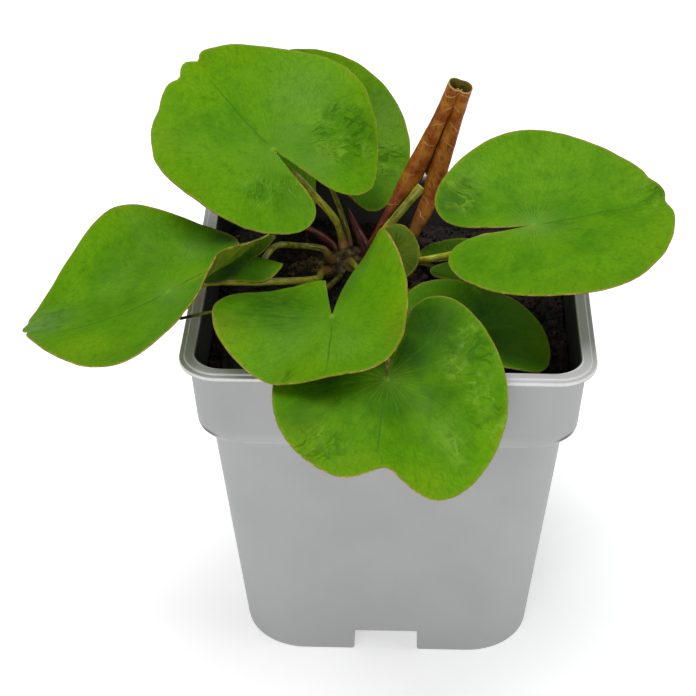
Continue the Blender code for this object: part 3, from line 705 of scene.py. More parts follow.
def tube_tree():
    """Geometry nodes that sweep a round section along a curve, with how far up and round it is."""
    tree, (curve, finish) = new_tree("sweep_stalk", Finish="Material")
    ring = curve.node("GeometryNodeCurvePrimitiveCircle", {"Resolution": STALK_SIDES, "Radius": 1.0})
    marked = []
    for line, label, output in ((curve, "climb", "Length"), (ring, "around", "Factor")):
        value = curve.node("GeometryNodeSplineParameter", output=output)
        marked.append(curve.node("GeometryNodeStoreNamedAttribute",
                                 {"Geometry": line, "Name": label, "Value": value}, {"data_type": "FLOAT"}))
    swept = curve.node("GeometryNodeCurveToMesh",
                       {"Curve": marked[0], "Profile Curve": marked[1], "Fill Caps": True,
                        "Scale": curve.node("GeometryNodeInputRadius")})
    return ended(tree, swept, finish)


def lengthwise(wire, lump):
    """Noise drawn out along a swept stalk, with lumps measured round it against its radius."""
    turn = wire.attribute("around", "Fac") * (2 * pi)
    climb = wire.attribute("climb", "Fac") / MM
    return wire.noise(wire.vector(climb * 0.1, turn.maths("SINE"), turn.maths("COSINE")), lump, detail=3.0)


def stalk_finish(name, green, shade, foot_red):
    """Waxy green skin, streaked along its length, redder at the foot."""
    material, wire = new_finish(name, Specular_IOR_Level=0.5, Coat_Weight=0.15, Coat_Roughness=0.25)
    climb = wire.attribute("climb", "Fac") / MM
    place = wire.place()
    mottle = wire.noise(place, 2.5 * MM, detail=3.0)
    streak = lengthwise(wire, 0.4)
    fleck = wire.noise(place, 0.35 * MM, detail=1.0).step(0.68, 0.76)
    skin = wire.painted(
        wire.tint(green, shade, mottle.step(0.35, 0.65)),
        # Pale streaks: partly the skin's own streaking and partly painted highlights along its length.
        ((0.90, 0.86, 0.20), streak.step(0.5, 0.68) * 0.7),
        ((0.16, 0.12, 0.01), streak.step(0.45, 0.3) * 0.55),
        (foot_red, (climb + 5 * mottle).step(13.0, 3.0) * 0.9),
        ((0.10, 0.05, 0.02), fleck * 0.6),
    )
    coat_with(material, Base_Color=skin, Roughness=0.25 + 0.25 * mottle,
              Normal=wire.bump(streak, 0.12 * MM, 0.8))
    return material


# Painted light and shade: one skin in two copies, the bright one as lit and the dark one as painted shade for
# the stalks that lie under the leaves.
green_stalk = stalk_finish("stalk_skin", (0.68, 0.66, 0.04), (0.40, 0.44, 0.015), (0.42, 0.16, 0.06))
shaded_copy_stalk = stalk_finish("shaded_stalk_skin", (0.36, 0.38, 0.018), (0.12, 0.14, 0.008), (0.30, 0.12, 0.05))
SHADED_COPY_STALKS = ("stalk_back", "stalk_small_left", "stalk_small_middle")
tube = tube_tree()


def stalk_piece(name, points, width, finish, slot, taper=None, wobble=0.06):
    """A stalk swept along a smooth path, swollen at foot and neck or else tapered along its length."""
    path = smooth_path(points)
    at = np.linspace(0, 1, len(path))
    length = np.sum(np.linalg.norm(np.diff(path, axis=0), axis=1))
    swell = FOOT_SWELL * np.exp(-((at * length / FOOT_LENGTH) ** 2))
    swell += NECK_SWELL * np.exp(-(((1 - at) * length / NECK_LENGTH) ** 2))
    if taper:
        swell = through(at, *taper) - 1
    radii = width / 2 * (1 + swell)
    radii *= [1 + wobble * noise.noise(Vector(point) / 3.5) for point in path]
    data = grown(curve_along(name, path, radii), tube, Finish=finish)
    data.shade_smooth()
    return add_piece(name + "_skin", data, finish, slot, name)


for name, stalk in STALKS.items():
    leaf = LEAVES[stalk["leaf"]]
    normal = blade_turn(leaf) @ Vector((0, 0, 1))
    top = Vector(leaf["navel"]) - normal * LEAF_THICKNESS * 0.6
    points = from_crown(*stalk["foot"], stalk["via"], clear=2.5)
    points += [top - normal * stalk.get("neck", 4.0), top]
    finish = shaded_copy_stalk if name in SHADED_COPY_STALKS else green_stalk
    stalk_piece(name, points, stalk["width"], finish, "stalk_green")


# The open leaves: one soft blade each, slit to the middle where the stalk joins, waxy above and
# duller with raised veins below. They grew rolled up in the mud, opened, and hang as they dried.
LOBE_ROUNDING = 30.0
RISE = 2.0
BLADE_RINGS, BLADE_STEPS = 62, 250
SMALL_RINGS, SMALL_STEPS = 26, 110
VEIN_SPACING, FORK_SPREAD, FORK_START, RAY_SPACING = 24.0, 6.5, 0.4, 8.6
LEAF_EDGE_THICKNESS = 0.34
MARGIN_ROWS = np.array([1.8, 1.1, 0.6, 0.25, 0.0])
VEIN_SUNK, MIDRIB_SUNK, RIB_THICK = 0.10, 0.22, 0.35
WAVE, RIPPLE, CREASE, FURROW = 0.35, 0.30, 0.16, 0.7


def blade_outline(leaf, t):
    """Each ray's direction from the midrib, its length to the margin and its lift there."""
    left_end = 180 - leaf["slit"]
    right_end = 180 - leaf.get("right_slit", leaf["slit"])
    places = (-right_end, *SPOKES, left_end)
    end = np.where(t > 0, left_end, right_end)
    direction = t * end
    length = through(direction, places, leaf["reach"])
    turn = np.clip((np.abs(direction) - (end - LOBE_ROUNDING)) / LOBE_ROUNDING, 0, 1)
    cut = np.where(t > 0, leaf["cut"], leaf.get("right_cut", leaf["cut"]))
    length = length * (1 - cut * (1 - np.sqrt(1 - turn ** 2.5)))
    for at, width, depth in leaf.get("dents", ()):
        length = length - depth * np.exp(-((direction - at) / width) ** 2)
    return direction, length, through(direction, places, leaf["lift"])


def field(x, y, size, seed):
    """Smooth noise over a blade, about -1 to 1."""
    flat = np.stack([x.ravel() / size, y.ravel() / size, np.full(x.size, seed)], axis=1)
    return np.array([noise.noise(Vector(point)) for point in flat]).reshape(x.shape)


def vein_gap(x, y, along):
    """How far each place is from the nearest of the veins, which fan out from the middle and fork."""
    direction = np.degrees(np.arctan2(y, x))
    nearest = np.abs((direction / VEIN_SPACING + 0.5) % 1 - 0.5) * VEIN_SPACING
    fork = FORK_SPREAD * np.clip((along - FORK_START) / (1 - FORK_START), 0, 1)
    fork = np.where(np.abs(direction) < VEIN_SPACING / 2, 0, fork)
    return np.radians(np.abs(nearest - fork)) * np.hypot(x, y)


def spots(x, y, places):
    """How strongly a set of soft round spots covers each place of a blade, from 0 to 1."""
    cover = np.zeros(x.shape)
    for at_x, at_y, radius, strength in places:
        cover = np.maximum(cover, strength * np.exp(-((x - at_x) ** 2 + (y - at_y) ** 2) / radius ** 2))
    return cover


def crinkles(x, y, seed):
    """Fine creases that run outwards from the middle and branch."""
    warp = field(x, y, 4.0, seed + 3)
    radius = np.hypot(x, y)
    direction = np.arctan2(y, x)
    crease = np.zeros(x.shape)
    for depth, across, length in ((1.0, 12.0, 4.5), (0.6, 24.0, 2.6)):
        u = radius / length + 0.8 * warp
        v = direction * across + 1.6 * warp
        crease += depth * (1 - 2.2 * np.abs(field(u, v, 1.0, seed)))
    return crease


# What each blade shows: how plainly its veins star out from the middle, crinkled spots, yellow where it
# thins, a blue-grey waxy bloom with painted sheen, painted shade where other leaves shadow it, furrows, and
# olive where it is turned or young.
# A spot is its place in the blade's plane, its radius and its strength.
LEAF_LOOKS = {
    "leaf_back_left": dict(
        seed=1, star=0.2, crinkled=((-8, -19, 9, 1.0), (-8, 14, 6, 0.8), (-12, 6, 5, 0.6)),
        yellow=((23, 23, 10, 0.7), (-2, -30, 8, 0.35), (4, 28, 7, 0.5), (29, -14, 7, 0.5), (33, 2, 8, 0.5)),
        bloom_and_sheen=((8, -18, 9, 0.7), (0, -8, 7, 0.6), (-10, -7, 6, 0.8), (0, 5, 8, 0.3)),
        painted_shade=((-14, -20, 8, 0.35), (-16, 9, 8, 0.3))),
    "leaf_back": dict(
        seed=2, star=0.3, crinkled=((-6, -22, 8, 0.6),),
        yellow=((2, -31, 6, 0.3), (28, -13, 8, 0.4), (5, -25, 8, 0.4)),
        bloom_and_sheen=((6, -24, 10, 0.8), (-13, -22, 7, 0.5)), painted_shade=((-22, -12, 10, 0.7),)),
    "leaf_left": dict(
        seed=3, star=0.5, crinkled=((2, -18, 9, 0.3), (30, -15, 6, 0.5)),
        yellow=((28, 10, 9, 0.8), (21, 13, 9, 0.5), (-3, -31, 8, 0.5)),
        bloom_and_sheen=((9, -15, 8, 0.4), (31, -13, 7, 0.8), (-13, -12, 5, 0.7), (0, 8, 9, 0.4)),
        painted_shade=((-16, -21, 8, 0.5), (-23, -12, 8, 0.9), (-2, -17, 9, 0.35), (10, -3, 7, 0.25)),
        furrows=((32, -13, 9, 1.0),)),
    "leaf_front_left": dict(
        seed=4, star=0.05, crinkled=((20, -13, 4, 0.9), (-8, -18, 6, 0.35)),
        yellow=((8, -26, 7, 0.9), (17, -8, 8, 0.5), (4, 18, 7, 0.9), (-12, 15, 6, 0.5)),
        bloom_and_sheen=((11, 3, 6, 0.4), (6, -10, 7, 0.4)), painted_shade=((-6, -16, 11, 0.65), (-8, 2, 5, 0.3)),
        olive=((10, 20, 5, 0.5), (4, -28, 5, 0.4)), furrows=((-6, -16, 11, 0.8),)),
    "leaf_front": dict(
        seed=5, star=0.4,
        crinkled=((-10, 21, 8, 1.0), (-18, 20, 5, 0.6), (2, 27, 7, 0.9), (13, 20, 6, 0.6), (22, -14, 7, 0.8)),
        yellow=((21, -17, 8, 0.8), (26, 14, 8, 0.8), (6, 30, 5, 0.6), (27, -4, 7, 0.7)),
        bloom_and_sheen=((5, 10, 5, 0.6), (10, 16, 6, 0.5), (-12, 16, 5, 0.4)),
        painted_shade=((-18, 8, 12, 1.0), (-9, 5, 10, 1.0), (3, -15, 10, 0.95), (13, -19, 7, 0.55),
              (6, 2, 9, 0.65), (-1, 14, 8, 0.55))),
    "leaf_low_right": dict(
        seed=6, star=0.1, crinkled=((15, 11, 9, 0.3), (-5, 21, 6, 0.5)), yellow=((24, 8, 6, 0.7),),
        painted_shade=((0, 12, 16, 1.0), (0, -8, 20, 1.0))),
    "leaf_right": dict(
        seed=7, star=1.0, crinkled=((-18, 14, 6, 1.0), (34, 3, 5, 1.0), (0, 18, 12, 0.2)),
        yellow=((32, -14, 10, 0.6), (8, -29, 9, 0.5), (32, 10, 6, 0.4)),
        bloom_and_sheen=((2, 0, 9, 0.4), (-15, 19, 5, 0.5)), painted_shade=((-20, 13, 6, 0.6),), furrows=((32, 3, 7, 0.8),)),
    "leaf_small_left": dict(
        seed=8, star=0.0, yellow=((0, -6, 9, 1.0),), bloom_and_sheen=((10, 5, 4, 0.6),), painted_shade=((4, 6, 10, 0.9),),
        furrows=((0, -5, 7, 0.6),)),
    "leaf_small_middle": dict(
        seed=9, star=0.0, crinkled=((4, -1, 3, 0.4),), bloom_and_sheen=((6, 0, 4, 1.0),), painted_shade=((-4, -7, 8, 1.0),),
        olive=((2, -1, 11, 0.85),), furrows=((0, 0, 6, 0.5),)),
    "leaf_small_right": dict(
        seed=10, star=0.0, crinkled=((-6, 11, 4, 0.6),), bloom_and_sheen=((-7, 12, 4, 1.0),),
        painted_shade=((0, 0, 20, 1.0),), olive=((0, 0, 20, 0.2),)),
}


def sheet_faces(rows, columns, border):
    """Faces on both sides of a sheet, whose points are two grids, and between them along a border."""
    total = rows * columns
    faces = []
    for row in range(rows - 1):
        for i in range(columns - 1):
            a, b = row * columns + i, (row + 1) * columns + i
            faces.append((a, b, b + 1, a + 1))
            faces.append((total + a, total + a + 1, total + b + 1, total + b))
    for a, b in zip(border, border[1:]):
        faces.append((b, a, total + a, total + b))
    return faces


def both_sides(*values):
    """Three values at each point of a grid as vectors, for the upper side and then the lower one."""
    return np.tile(np.stack([value.ravel() for value in np.broadcast_arrays(*values)], axis=1), (2, 1))


def add_layers(data, layers):
    """Give a mesh vectors at its points, for its finish to read by name."""
    for label, values in layers.items():
        data.attributes.new(label, "FLOAT_VECTOR", "POINT").data.foreach_set("vector", values.ravel())


def leaf_mesh(name, leaf, look):
    """An open blade in rings round its middle, with its relief, and what its finish reads."""
    def shown(kind):
        return spots(x, y, look.get(kind, ()))

    big = max(leaf["reach"]) > 20
    rings, steps = (BLADE_RINGS, BLADE_STEPS) if big else (SMALL_RINGS, SMALL_STEPS)
    even = np.linspace(-1, 1, steps + 1)
    t = even + 0.12 * np.sin(pi * even)
    direction, length, lift = blade_outline(leaf, t)
    length = length * (1 + 0.008 * field(direction, direction * 0, 9.0, look["seed"] * 5.0))
    rim = MARGIN_ROWS / max(leaf["reach"])
    along = np.concatenate([[0.012], np.linspace(0.03, 1 - 1.4 * rim[0], rings - 6), 1 - rim])[:, None]
    radius = along * length
    angle = np.radians(direction)
    x, y = radius * np.cos(angle), radius * np.sin(angle)
    spread = np.radians((1 - np.abs(t)) * (180 - leaf["slit"]))
    slit_gap = np.where(spread < pi / 2, radius * np.sin(spread), 1000.0)
    edge = np.minimum((1 - along) * length, slit_gap)

    # Relief above the plain form: veins sunk a little, creases, slow waves and a rippled margin
    crinkled, furrows = shown("crinkled"), shown("furrows")
    gap = vein_gap(x, y, along)
    relief = -VEIN_SUNK * np.exp(-(gap / 0.45) ** 2) * np.clip(radius / 3, 0, 1) * (1.1 - along)
    relief -= MIDRIB_SUNK * np.exp(-(y / 0.9) ** 2) * (x > 0) * np.clip(radius / 4, 0, 1) * (1.05 - along)
    relief += WAVE * field(x, y, 8.0, look["seed"]) * np.clip(radius / 6, 0, 1)
    relief += RIPPLE * field(direction + 0 * along, 0 * x, 11.0, look["seed"] + 0.5) * along ** 6
    if "crinkled" in look:
        relief += CREASE * crinkled * crinkles(x, y, look["seed"] + 20.0)
    relief += FURROW * furrows * field(direction * 1.6 + 0 * along, 2 * radius, 5.0, look["seed"] + 40.0)
    relief *= np.clip(edge / 0.8 + 0.3, 0, 1)

    surface = np.stack([x, y, lift * along ** RISE], axis=2)
    down_rows, across = np.gradient(surface, axis=0), np.gradient(surface, axis=1)
    normal = np.cross(down_rows, across)
    normal /= np.linalg.norm(normal, axis=2, keepdims=True)
    top = surface + normal * relief[..., None]
    thick = LEAF_EDGE_THICKNESS + (LEAF_THICKNESS - LEAF_EDGE_THICKNESS) * np.clip(edge / 3, 0, 1)
    thick = thick + RIB_THICK * np.exp(-(gap / 0.5) ** 2) * np.clip(edge / 4, 0, 1) * (1.1 - along)
    low = top - normal * thick[..., None]

    # The grid's two slit edges and its margin are closed, and then the two points in the middle
    rows, count = x.shape
    total = rows * count
    middle = [[0, 0, 0], [0, 0, -LEAF_THICKNESS]]
    points = np.concatenate([top.reshape(-1, 3), low.reshape(-1, 3), middle])
    middle_top, middle_low = 2 * total, 2 * total + 1
    border = [row * count for row in range(rows)]
    border += [(rows - 1) * count + i for i in range(1, count)]
    border += [row * count + steps for row in range(rows - 2, -1, -1)]
    faces = sheet_faces(rows, count, border)
    for i in range(steps):
        faces.append((middle_top, i, i + 1))
        faces.append((middle_low, total + i + 1, total + i))
    faces.append((border[0], middle_top, middle_low, total + border[0]))
    faces.append((middle_top, border[-1], total + border[-1], middle_low))

    turn = np.array(blade_turn(leaf))
    world = points @ turn.T + np.array(leaf["navel"], float)
    data = bpy.data.meshes.new(name)
    data.from_pydata(world * MM, [], faces)
    data.shade_smooth()
    underneath = np.repeat((0.0, 1.0), total)
    layers = {
        "blade": (both_sides(x, y, edge), (0, 0, 3.0)),
        "state": (both_sides(along, 0.0, crinkled), (0, 0, 0)),
        "wash": (both_sides(shown("yellow"), shown("bloom_and_sheen"), shown("painted_shade")), (0, 0, 0)),
        "mark": (both_sides(look["seed"], shown("olive"), furrows), (look["seed"], 0, 0)),
    }
    layers = {label: np.vstack([grids, middle, middle]) for label, (grids, middle) in layers.items()}
    layers["state"][:, 1] = [*underneath, 0.0, 1.0]
    add_layers(data, layers)
    star = np.full(len(points), look["star"])
    data.attributes.new("star", "FLOAT", "POINT").data.foreach_set("value", star)
    return data


leaf_finish, wire = new_finish("lily_leaf", Specular_IOR_Level=0.06)
x, y, edge = wire.attribute("blade").parts()
along, side, crinkled = wire.attribute("state").parts()
yellow, bloom_and_sheen, painted_shade = wire.attribute("wash").parts()
seed, olive, furrows = wire.attribute("mark").parts()
blade = wire.vector(x, y, seed * 9)
radius = (x * x + y * y) ** 0.5
angle = y.maths("ARCTAN2", x)
swirl = wire.noise(blade, 4.0, detail=2.0) - 0.5

# The veins: they star out from the middle, wander a little and fork once
direction = angle * (180 / pi) + swirl * 12 * radius.step(2.0, 9.0)
beside = direction.size().step(VEIN_SPACING / 2 - 0.1, VEIN_SPACING / 2)
fork = along.step(FORK_START, 1.0) * FORK_SPREAD * beside
gap = (direction.off_line(VEIN_SPACING) - fork).size() * radius * (pi / 180)
vein = gap.step(0.35, 0.03)
rays = direction.off_line(RAY_SPACING) * radius * (pi / 180)
star = rays.step(0.2, 0.02) * radius.step(11.0, 2.0) * wire.attribute("star", "Fac")
midrib = (y + swirl * 0.7).size().step(0.34, 0.06) * x.step(1.0, 4.0) * along.step(0.95, 0.6)

# The fine net between them, drawn out along the blade, and the sharp little ridges where it crinkles
net = wire.cells(wire.vector(radius * 0.5 + swirl * 1.5, angle * 15 + swirl * 3, seed * 7)).step(0.13, 0.0)
crease = wire.cells(wire.vector(radius * 0.14 + swirl * 0.8, angle * 8 + swirl * 1.8, seed * 5))
small_crease = wire.cells(wire.vector(radius * 0.3 + swirl * 1.2, angle * 17 + swirl * 2.4, seed * 3))
torn = wire.noise(blade, 5.0, detail=2.0).step(0.40, 0.58)
fold = crease.step(0.17, 0.0) * (0.3 + 0.7 * torn) + 0.6 * small_crease.step(0.2, 0.0) * (1 - torn)
ridge = fold * crinkled.step(0.12, 0.6)
shade = wire.noise(blade, 7.0, detail=1.0).step(0.42, 0.58)
streak = wire.noise(wire.vector(radius * 0.35, angle * 24, seed * 11), 1.0, detail=3.0, rough=0.6)
long_streak = wire.noise(wire.vector(radius * 0.06, angle * 11 + swirl, seed * 4), 1.0, detail=2.0)

broad = wire.noise(blade, 13.0, detail=2.0)
mottle = wire.noise(blade, 3.4, detail=4.0, rough=0.6)
speck = wire.noise(blade, 0.32, detail=1.0).step(0.73, 0.79)
rim_wear = wire.noise(blade, 2.2, detail=3.0)
rim_colour = wire.tint((0.22, 0.07, 0.02), (0.46, 0.30, 0.09), rim_wear.step(0.4, 0.62))
outer = along.step(0.3, 0.8)
green = wire.painted(
    wire.tint((0.080, 0.250, 0.0015), (0.125, 0.320, 0.002), broad.step(0.3, 0.7)),
    ((0.040, 0.175, 0.001), mottle.step(0.48, 0.72) * 0.5),
    ((0.155, 0.355, 0.004), mottle.step(0.46, 0.3) * 0.45),
    ((0.18, 0.36, 0.003), edge.step(8.0, 0.5) * mottle.step(0.3, 0.6) * 0.3),
    ((0.21, 0.37, 0.002), yellow * (0.3 + 0.45 * mottle)),
    # A blue-grey waxy bloom, partly painted sheen.
    ((0.15, 0.28, 0.05), bloom_and_sheen * (0.35 + 0.4 * mottle)),
    # Painted shade: deeper green where other leaves shadow the blade.
    ((0.009, 0.052, 0.0005), painted_shade * (0.75 + 0.3 * mottle)),
    ((0.14, 0.15, 0.012), olive * (0.65 + 0.3 * mottle)),
    ((0.03, 0.14, 0.001), streak.step(0.5, 0.72) * 0.3),
    ((0.02, 0.10, 0.001), long_streak.step(0.5, 0.68) * furrows * 0.6),
    ((0.04, 0.16, 0.002), net * 0.22),
    ((0.13, 0.32, 0.02), vein * 0.12 * along.step(1.0, 0.3)),
    ((0.20, 0.38, 0.06), star * 0.6),
    ((0.03, 0.13, 0.008), midrib * 0.6),
    ((0.03, 0.15, 0.001), crinkled.step(0.2, 0.8) * crease.step(0.15, 0.5) * 0.45),
    # Painted highlights and painted shadows along the crinkle ridges.
    (wire.tint((0.014, 0.08, 0.001), (0.22, 0.42, 0.03), shade), ridge * 0.5),
    ((0.24, 0.40, 0.02), radius.step(1.2, 0.4) * 0.7),
    ((0.26, 0.42, 0.10), speck * 0.35 * (0.3 + crinkled)),
    ((0.30, 0.36, 0.01), edge.step(1.1, 0.3) * outer * rim_wear.step(0.65, 0.4) * 0.3),
    (rim_colour, edge.step(0.32, 0.16) * rim_wear.step(0.34, 0.56) * (0.1 + 0.5 * outer)),
)
under = wire.painted(
    wire.tint((0.13, 0.21, 0.006), (0.15, 0.10, 0.02), broad.step(0.4, 0.7) * 0.5),
    ((0.07, 0.12, 0.004), streak.step(0.45, 0.65) * 0.5),
    ((0.24, 0.30, 0.05), vein * 0.6),
    (rim_colour, edge.step(0.5, 0.25) * 0.8),
)
normal = wire.bump(wire.noise(blade, 0.33, detail=2.0), 0.05 * MM, 0.5)
normal = wire.bump(streak + 0.8 * mottle - 0.3 * net, 0.12 * MM, 0.6, below=normal)
normal = wire.bump(ridge * (shade - 0.4), 0.6 * MM, 1.0, below=normal)
coat_with(leaf_finish, Base_Color=wire.tint(green, under, side),
          Roughness=0.44 + 0.16 * mottle + 0.08 * bloom_and_sheen - 0.12 * crinkled + 0.12 * side, Normal=normal)
for name, leaf in LEAVES.items():
    slot = "leaf_grey_green" if name in ("leaf_small_middle", "leaf_small_right") else "leaf_green"
    add_piece(name + "_blade", leaf_mesh(name, leaf, LEAF_LOOKS[name]), leaf_finish, slot, name)


# The rolled leaf: the newest leaf, still rolled up from both margins as it came out of the mud. Its
# two halves are thin copper-brown sheets that lie side by side, open in one mouth at the top and
# drawn out below into the tails of the two lobes.
ROLL_LEFT = ((-6.9, 20.5, 101), (1.6, 29, 112.5), (5.9, 31, 119), (12.3, 32, 134), (17.8, 32.4, 147.4))
ROLL_RIGHT = ((5.3, 21.5, 102), (10.8, 29.5, 111.5), (13.2, 31.4, 120.5), (17.2, 32.2, 134.5),
              (20.1, 32.4, 146.6))
ROLL_WIDTH = 5.6
ROLL_ENDS = {-1: (0.14, 0.40), 1: (0.5, 0.85)}
ROLL_TURNS = ((0.0, 0.3, 0.6, 0.82, 1.0), (1.3, 2.1, 2.0, 1.3, 0.66))
ROLL_ROWS, ROLL_COLUMNS = 110, 96
SHEET, SHEET_GAP = 0.34, 0.5
MOUTH_SLANT, MOUTH_DEPTH = 0.30, 9.0
SLIT_SHARE, SLIT_EASE, BRIDGE_SHARE = 0.34, 0.08, 0.12
ROLL_LENGTH, ROLL_CORE, WINDING_START = 45, 0.35, 1.35 * pi
ROLL_RIPPLE = 0.10


def roll_radius(hand, rows):
    """The left roll runs out in a thin tail; the right one stays broad further down."""
    return ROLL_WIDTH / 2 * through(rows, (0.0, 0.2, 0.45, 0.78, 1.0), (*ROLL_ENDS[hand], 1.0, 0.76, 0.84))


def roll_half(hand):
    """One half of the rolled sheet: hand is -1 for the left roll and 1 for the right one."""
    rows = np.linspace(0, 1, ROLL_ROWS + 1)
    axes = smooth_path(ROLL_LEFT, rows), smooth_path(ROLL_RIGHT, rows)
    own, other = axes if hand < 0 else reversed(axes)
    tangent = np.gradient(own, axis=0)
    tangent /= np.linalg.norm(tangent, axis=1, keepdims=True)
    outward = own - other
    outward -= tangent * np.sum(outward * tangent, axis=1, keepdims=True)
    outward /= np.linalg.norm(outward, axis=1, keepdims=True)
    front = np.cross(outward, tangent) * hand
    apart = np.linalg.norm(own - other, axis=1)
    radius = roll_radius(hand, rows)
    turns = through(rows, *ROLL_TURNS)
    joined = np.clip((rows - SLIT_SHARE) / SLIT_EASE, 0, 1)
    u = np.linspace(0, 1, ROLL_COLUMNS + 1)[None, :]
    bridge = np.clip(1 - u / BRIDGE_SHARE, 0, 1)
    swing = np.clip((u - BRIDGE_SHARE) / (1 - BRIDGE_SHARE), 0, 1) * turns[:, None] * 2 * pi
    inner = np.clip(swing - WINDING_START, 0, None) / (2 * pi)
    r = np.maximum(radius[:, None] - (SHEET + SHEET_GAP) * inner, ROLL_CORE)
    a = r * np.sin(swing) - bridge * (apart / 2 * joined)[:, None]
    b = -r * np.cos(swing)
    top_share = np.clip((rows - 1) * ROLL_LENGTH / MOUTH_DEPTH + 1, 0, 1)[:, None]
    slide = -MOUTH_SLANT * b * top_share ** 2
    sheet = (own[:, None, :] + a[..., None] * outward[:, None, :] + b[..., None] * front[:, None, :]
             + slide[..., None] * tangent[:, None, :])
    return sheet, rows, u, swing


def roll_mesh(name, hand):
    """One half of the rolled leaf as a closed sheet, and what its finish reads."""
    sheet, rows, u, swing = roll_half(hand)
    normal = np.cross(np.gradient(sheet, axis=0), np.gradient(sheet, axis=1)) * hand
    normal /= np.maximum(np.linalg.norm(normal, axis=2, keepdims=True), 1e-9)
    height = rows[:, None] * ROLL_LENGTH + 0 * u
    outer = sheet + normal * (ROLL_RIPPLE * field(height, swing * 3, 2.5, hand + 3.0))[..., None]
    inner = sheet - normal * SHEET
    points = np.concatenate([outer.reshape(-1, 3), inner.reshape(-1, 3)])
    count, columns = height.shape
    border = list(range(columns))
    border += [row * columns + columns - 1 for row in range(1, count)]
    border += [(count - 1) * columns + i for i in range(columns - 2, -1, -1)]
    border += [row * columns for row in range(count - 2, -1, -1)]
    faces = sheet_faces(count, columns, border)
    if hand > 0:
        faces = [tuple(reversed(face)) for face in faces]
    data = bpy.data.meshes.new(name)
    data.from_pydata(points * MM, [], faces)
    shape = bmesh.new()
    shape.from_mesh(data)
    bmesh.ops.recalc_face_normals(shape, faces=shape.faces)
    shape.to_mesh(data)
    shape.free()
    data.shade_smooth()
    width = through(rows, *ROLL_TURNS) * 2 * pi * roll_radius(hand, rows) * 0.8
    gap = np.minimum((1 - u) * width[:, None], ROLL_LENGTH - height)
    roll = both_sides(height, swing, 0.0)
    roll[height.size:, 2] = 1.0
    add_layers(data, {"roll": roll, "trim": both_sides(hand, 0.0, gap)})
    return data


roll_finish, wire = new_finish("copper_leaf", Specular_IOR_Level=0.25)
height, swing, inside = wire.attribute("roll").parts()
hand, _, margin = wire.attribute("trim").parts()
place = wire.place()
patch = wire.noise(place, 5 * MM, detail=3.0)
thread = wire.noise(place.scaled(1, 1, 0.3), 0.7 * MM, detail=4.0, rough=0.6)
bend = (wire.noise(place, 4 * MM, detail=1.0) - 0.5) * 4
wave = height + (swing * 0.9).maths("SINE") * 1.4 + bend
broken = wire.noise(wire.vector(height * 0.3, swing * 0.5, 0), 1.0).step(0.44, 0.58)
crease = (wave - 2.3).off_line(4.6).step(0.22, 0.05) * broken
dark_line = (wave - 0.42).off_line(2.1).step(0.189, 0.0)
copper = wire.painted(
    wire.tint((0.27, 0.062, 0.004), (0.46, 0.17, 0.014), patch.step(0.35, 0.65)),
    ((0.06, 0.018, 0.006), thread.step(0.5, 0.72) * 0.7),
    ((0.07, 0.02, 0.006), dark_line * thread.step(0.35, 0.55) * 0.5),
    ((0.17, 0.018, 0.012), height.step(17.0, 5.0) * hand.step(0.5, -0.5) * 0.85),
    ((0.10, 0.045, 0.006), height.step(12.0, 3.0) * hand.step(-0.5, 0.5) * 0.6),
    ((0.70, 0.42, 0.15), crease * 0.6),
    ((0.60, 0.34, 0.15), margin.step(0.45, 0.2) * 0.8),
)
olive = wire.tint((0.17, 0.13, 0.012), (0.09, 0.07, 0.008), thread.step(0.4, 0.6))
coat_with(roll_finish, Base_Color=wire.tint(copper, olive, inside), Roughness=0.38 + 0.16 * patch,
          Normal=wire.bump(thread + 0.5 * crease, 0.2 * MM, 0.9))
for name, hand in (("rolled_leaf_left_half", -1), ("rolled_leaf_right_half", 1)):
    add_piece(name, roll_mesh(name, hand), roll_finish, "leaf_copper", "rolled_leaf")

ROLL_STALK = dict(width=2.5, foot=(40, 38), via=((-3.4, 29.5, 99), (0.4, 31, 103.4), (8.4, 35, 112.4)))
stalk_piece("stalk_rolled", from_crown(*ROLL_STALK["foot"], ROLL_STALK["via"]), ROLL_STALK["width"],
            green_stalk, "stalk_green")


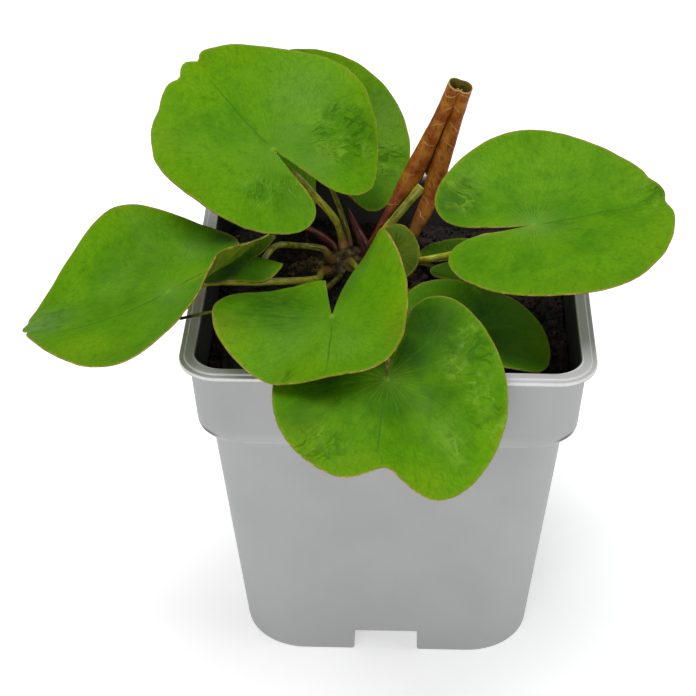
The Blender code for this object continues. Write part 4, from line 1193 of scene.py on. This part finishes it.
# The shoots: two leaves that have not opened, dark red, glossy and pointed, and behind the left leaf
# the dry stub of a stalk whose leaf is gone.
SHOOTS = {
    "shoot_upright": dict(
        width=2.8, foot=(345, 66), taper=((0.0, 0.35, 0.75, 1.0), (0.9, 1.0, 0.6, 0.06)),
        via=((-10.6, 27.5, 103), (-12.7, 27.5, 109.3))),
    "shoot_left": dict(
        width=2.4, foot=(150, 52), taper=((0.0, 0.35, 0.75, 1.0), (0.9, 1.0, 0.7, 0.06)),
        via=((-24.3, 30.5, 100), (-33, 33, 102))),
}
STUB = dict(width=1.5, foot=(252, 14), via=((-21, 4, 95), (-48.4, -25.5, 107.5), (-56, -30.5, 108.6)),
            taper=((0.0, 0.5, 0.8, 1.0), (1.1, 1.0, 0.7, 0.6)))

shoot_finish, wire = new_finish("shoot_skin", Specular_IOR_Level=0.6, Coat_Weight=0.4, Coat_Roughness=0.15)
around = wire.attribute("around", "Fac")
streak = lengthwise(wire, 0.35)
red = wire.tint((0.05, 0.007, 0.008), (0.24, 0.05, 0.035), streak.step(0.4, 0.68))
seam = (around - 0.75).size().step(0.05, 0.015)
red = wire.tint(red, (0.45, 0.19, 0.10), seam * 0.8)
coat_with(shoot_finish, Base_Color=red, Roughness=0.3 + 0.15 * streak,
          Normal=wire.bump(streak - seam, 0.12 * MM, 0.8))
for name, shoot in SHOOTS.items():
    stalk_piece(name, from_crown(*shoot["foot"], shoot["via"]), shoot["width"], shoot_finish, "shoot_red",
                shoot["taper"])

stub_finish, wire = new_finish("dry_stub", Specular_IOR_Level=0.4)
place = wire.place()
climb = wire.attribute("climb", "Fac") / MM
mottle = wire.noise(place, 1.4 * MM, detail=4.0)
stub = wire.tint((0.28, 0.29, 0.03), (0.10, 0.11, 0.014), mottle.step(0.4, 0.65))
stub = wire.tint(stub, (0.012, 0.008, 0.004), climb.step(65.5, 67.0))
coat_with(stub_finish, Base_Color=stub, Roughness=0.45 + 0.3 * mottle, Normal=wire.bump(mottle, 0.25 * MM))
stalk_piece("cut_stalk", from_crown(*STUB["foot"], STUB["via"]), STUB["width"], stub_finish, "stalk_dry",
            STUB["taper"], wobble=0.2)
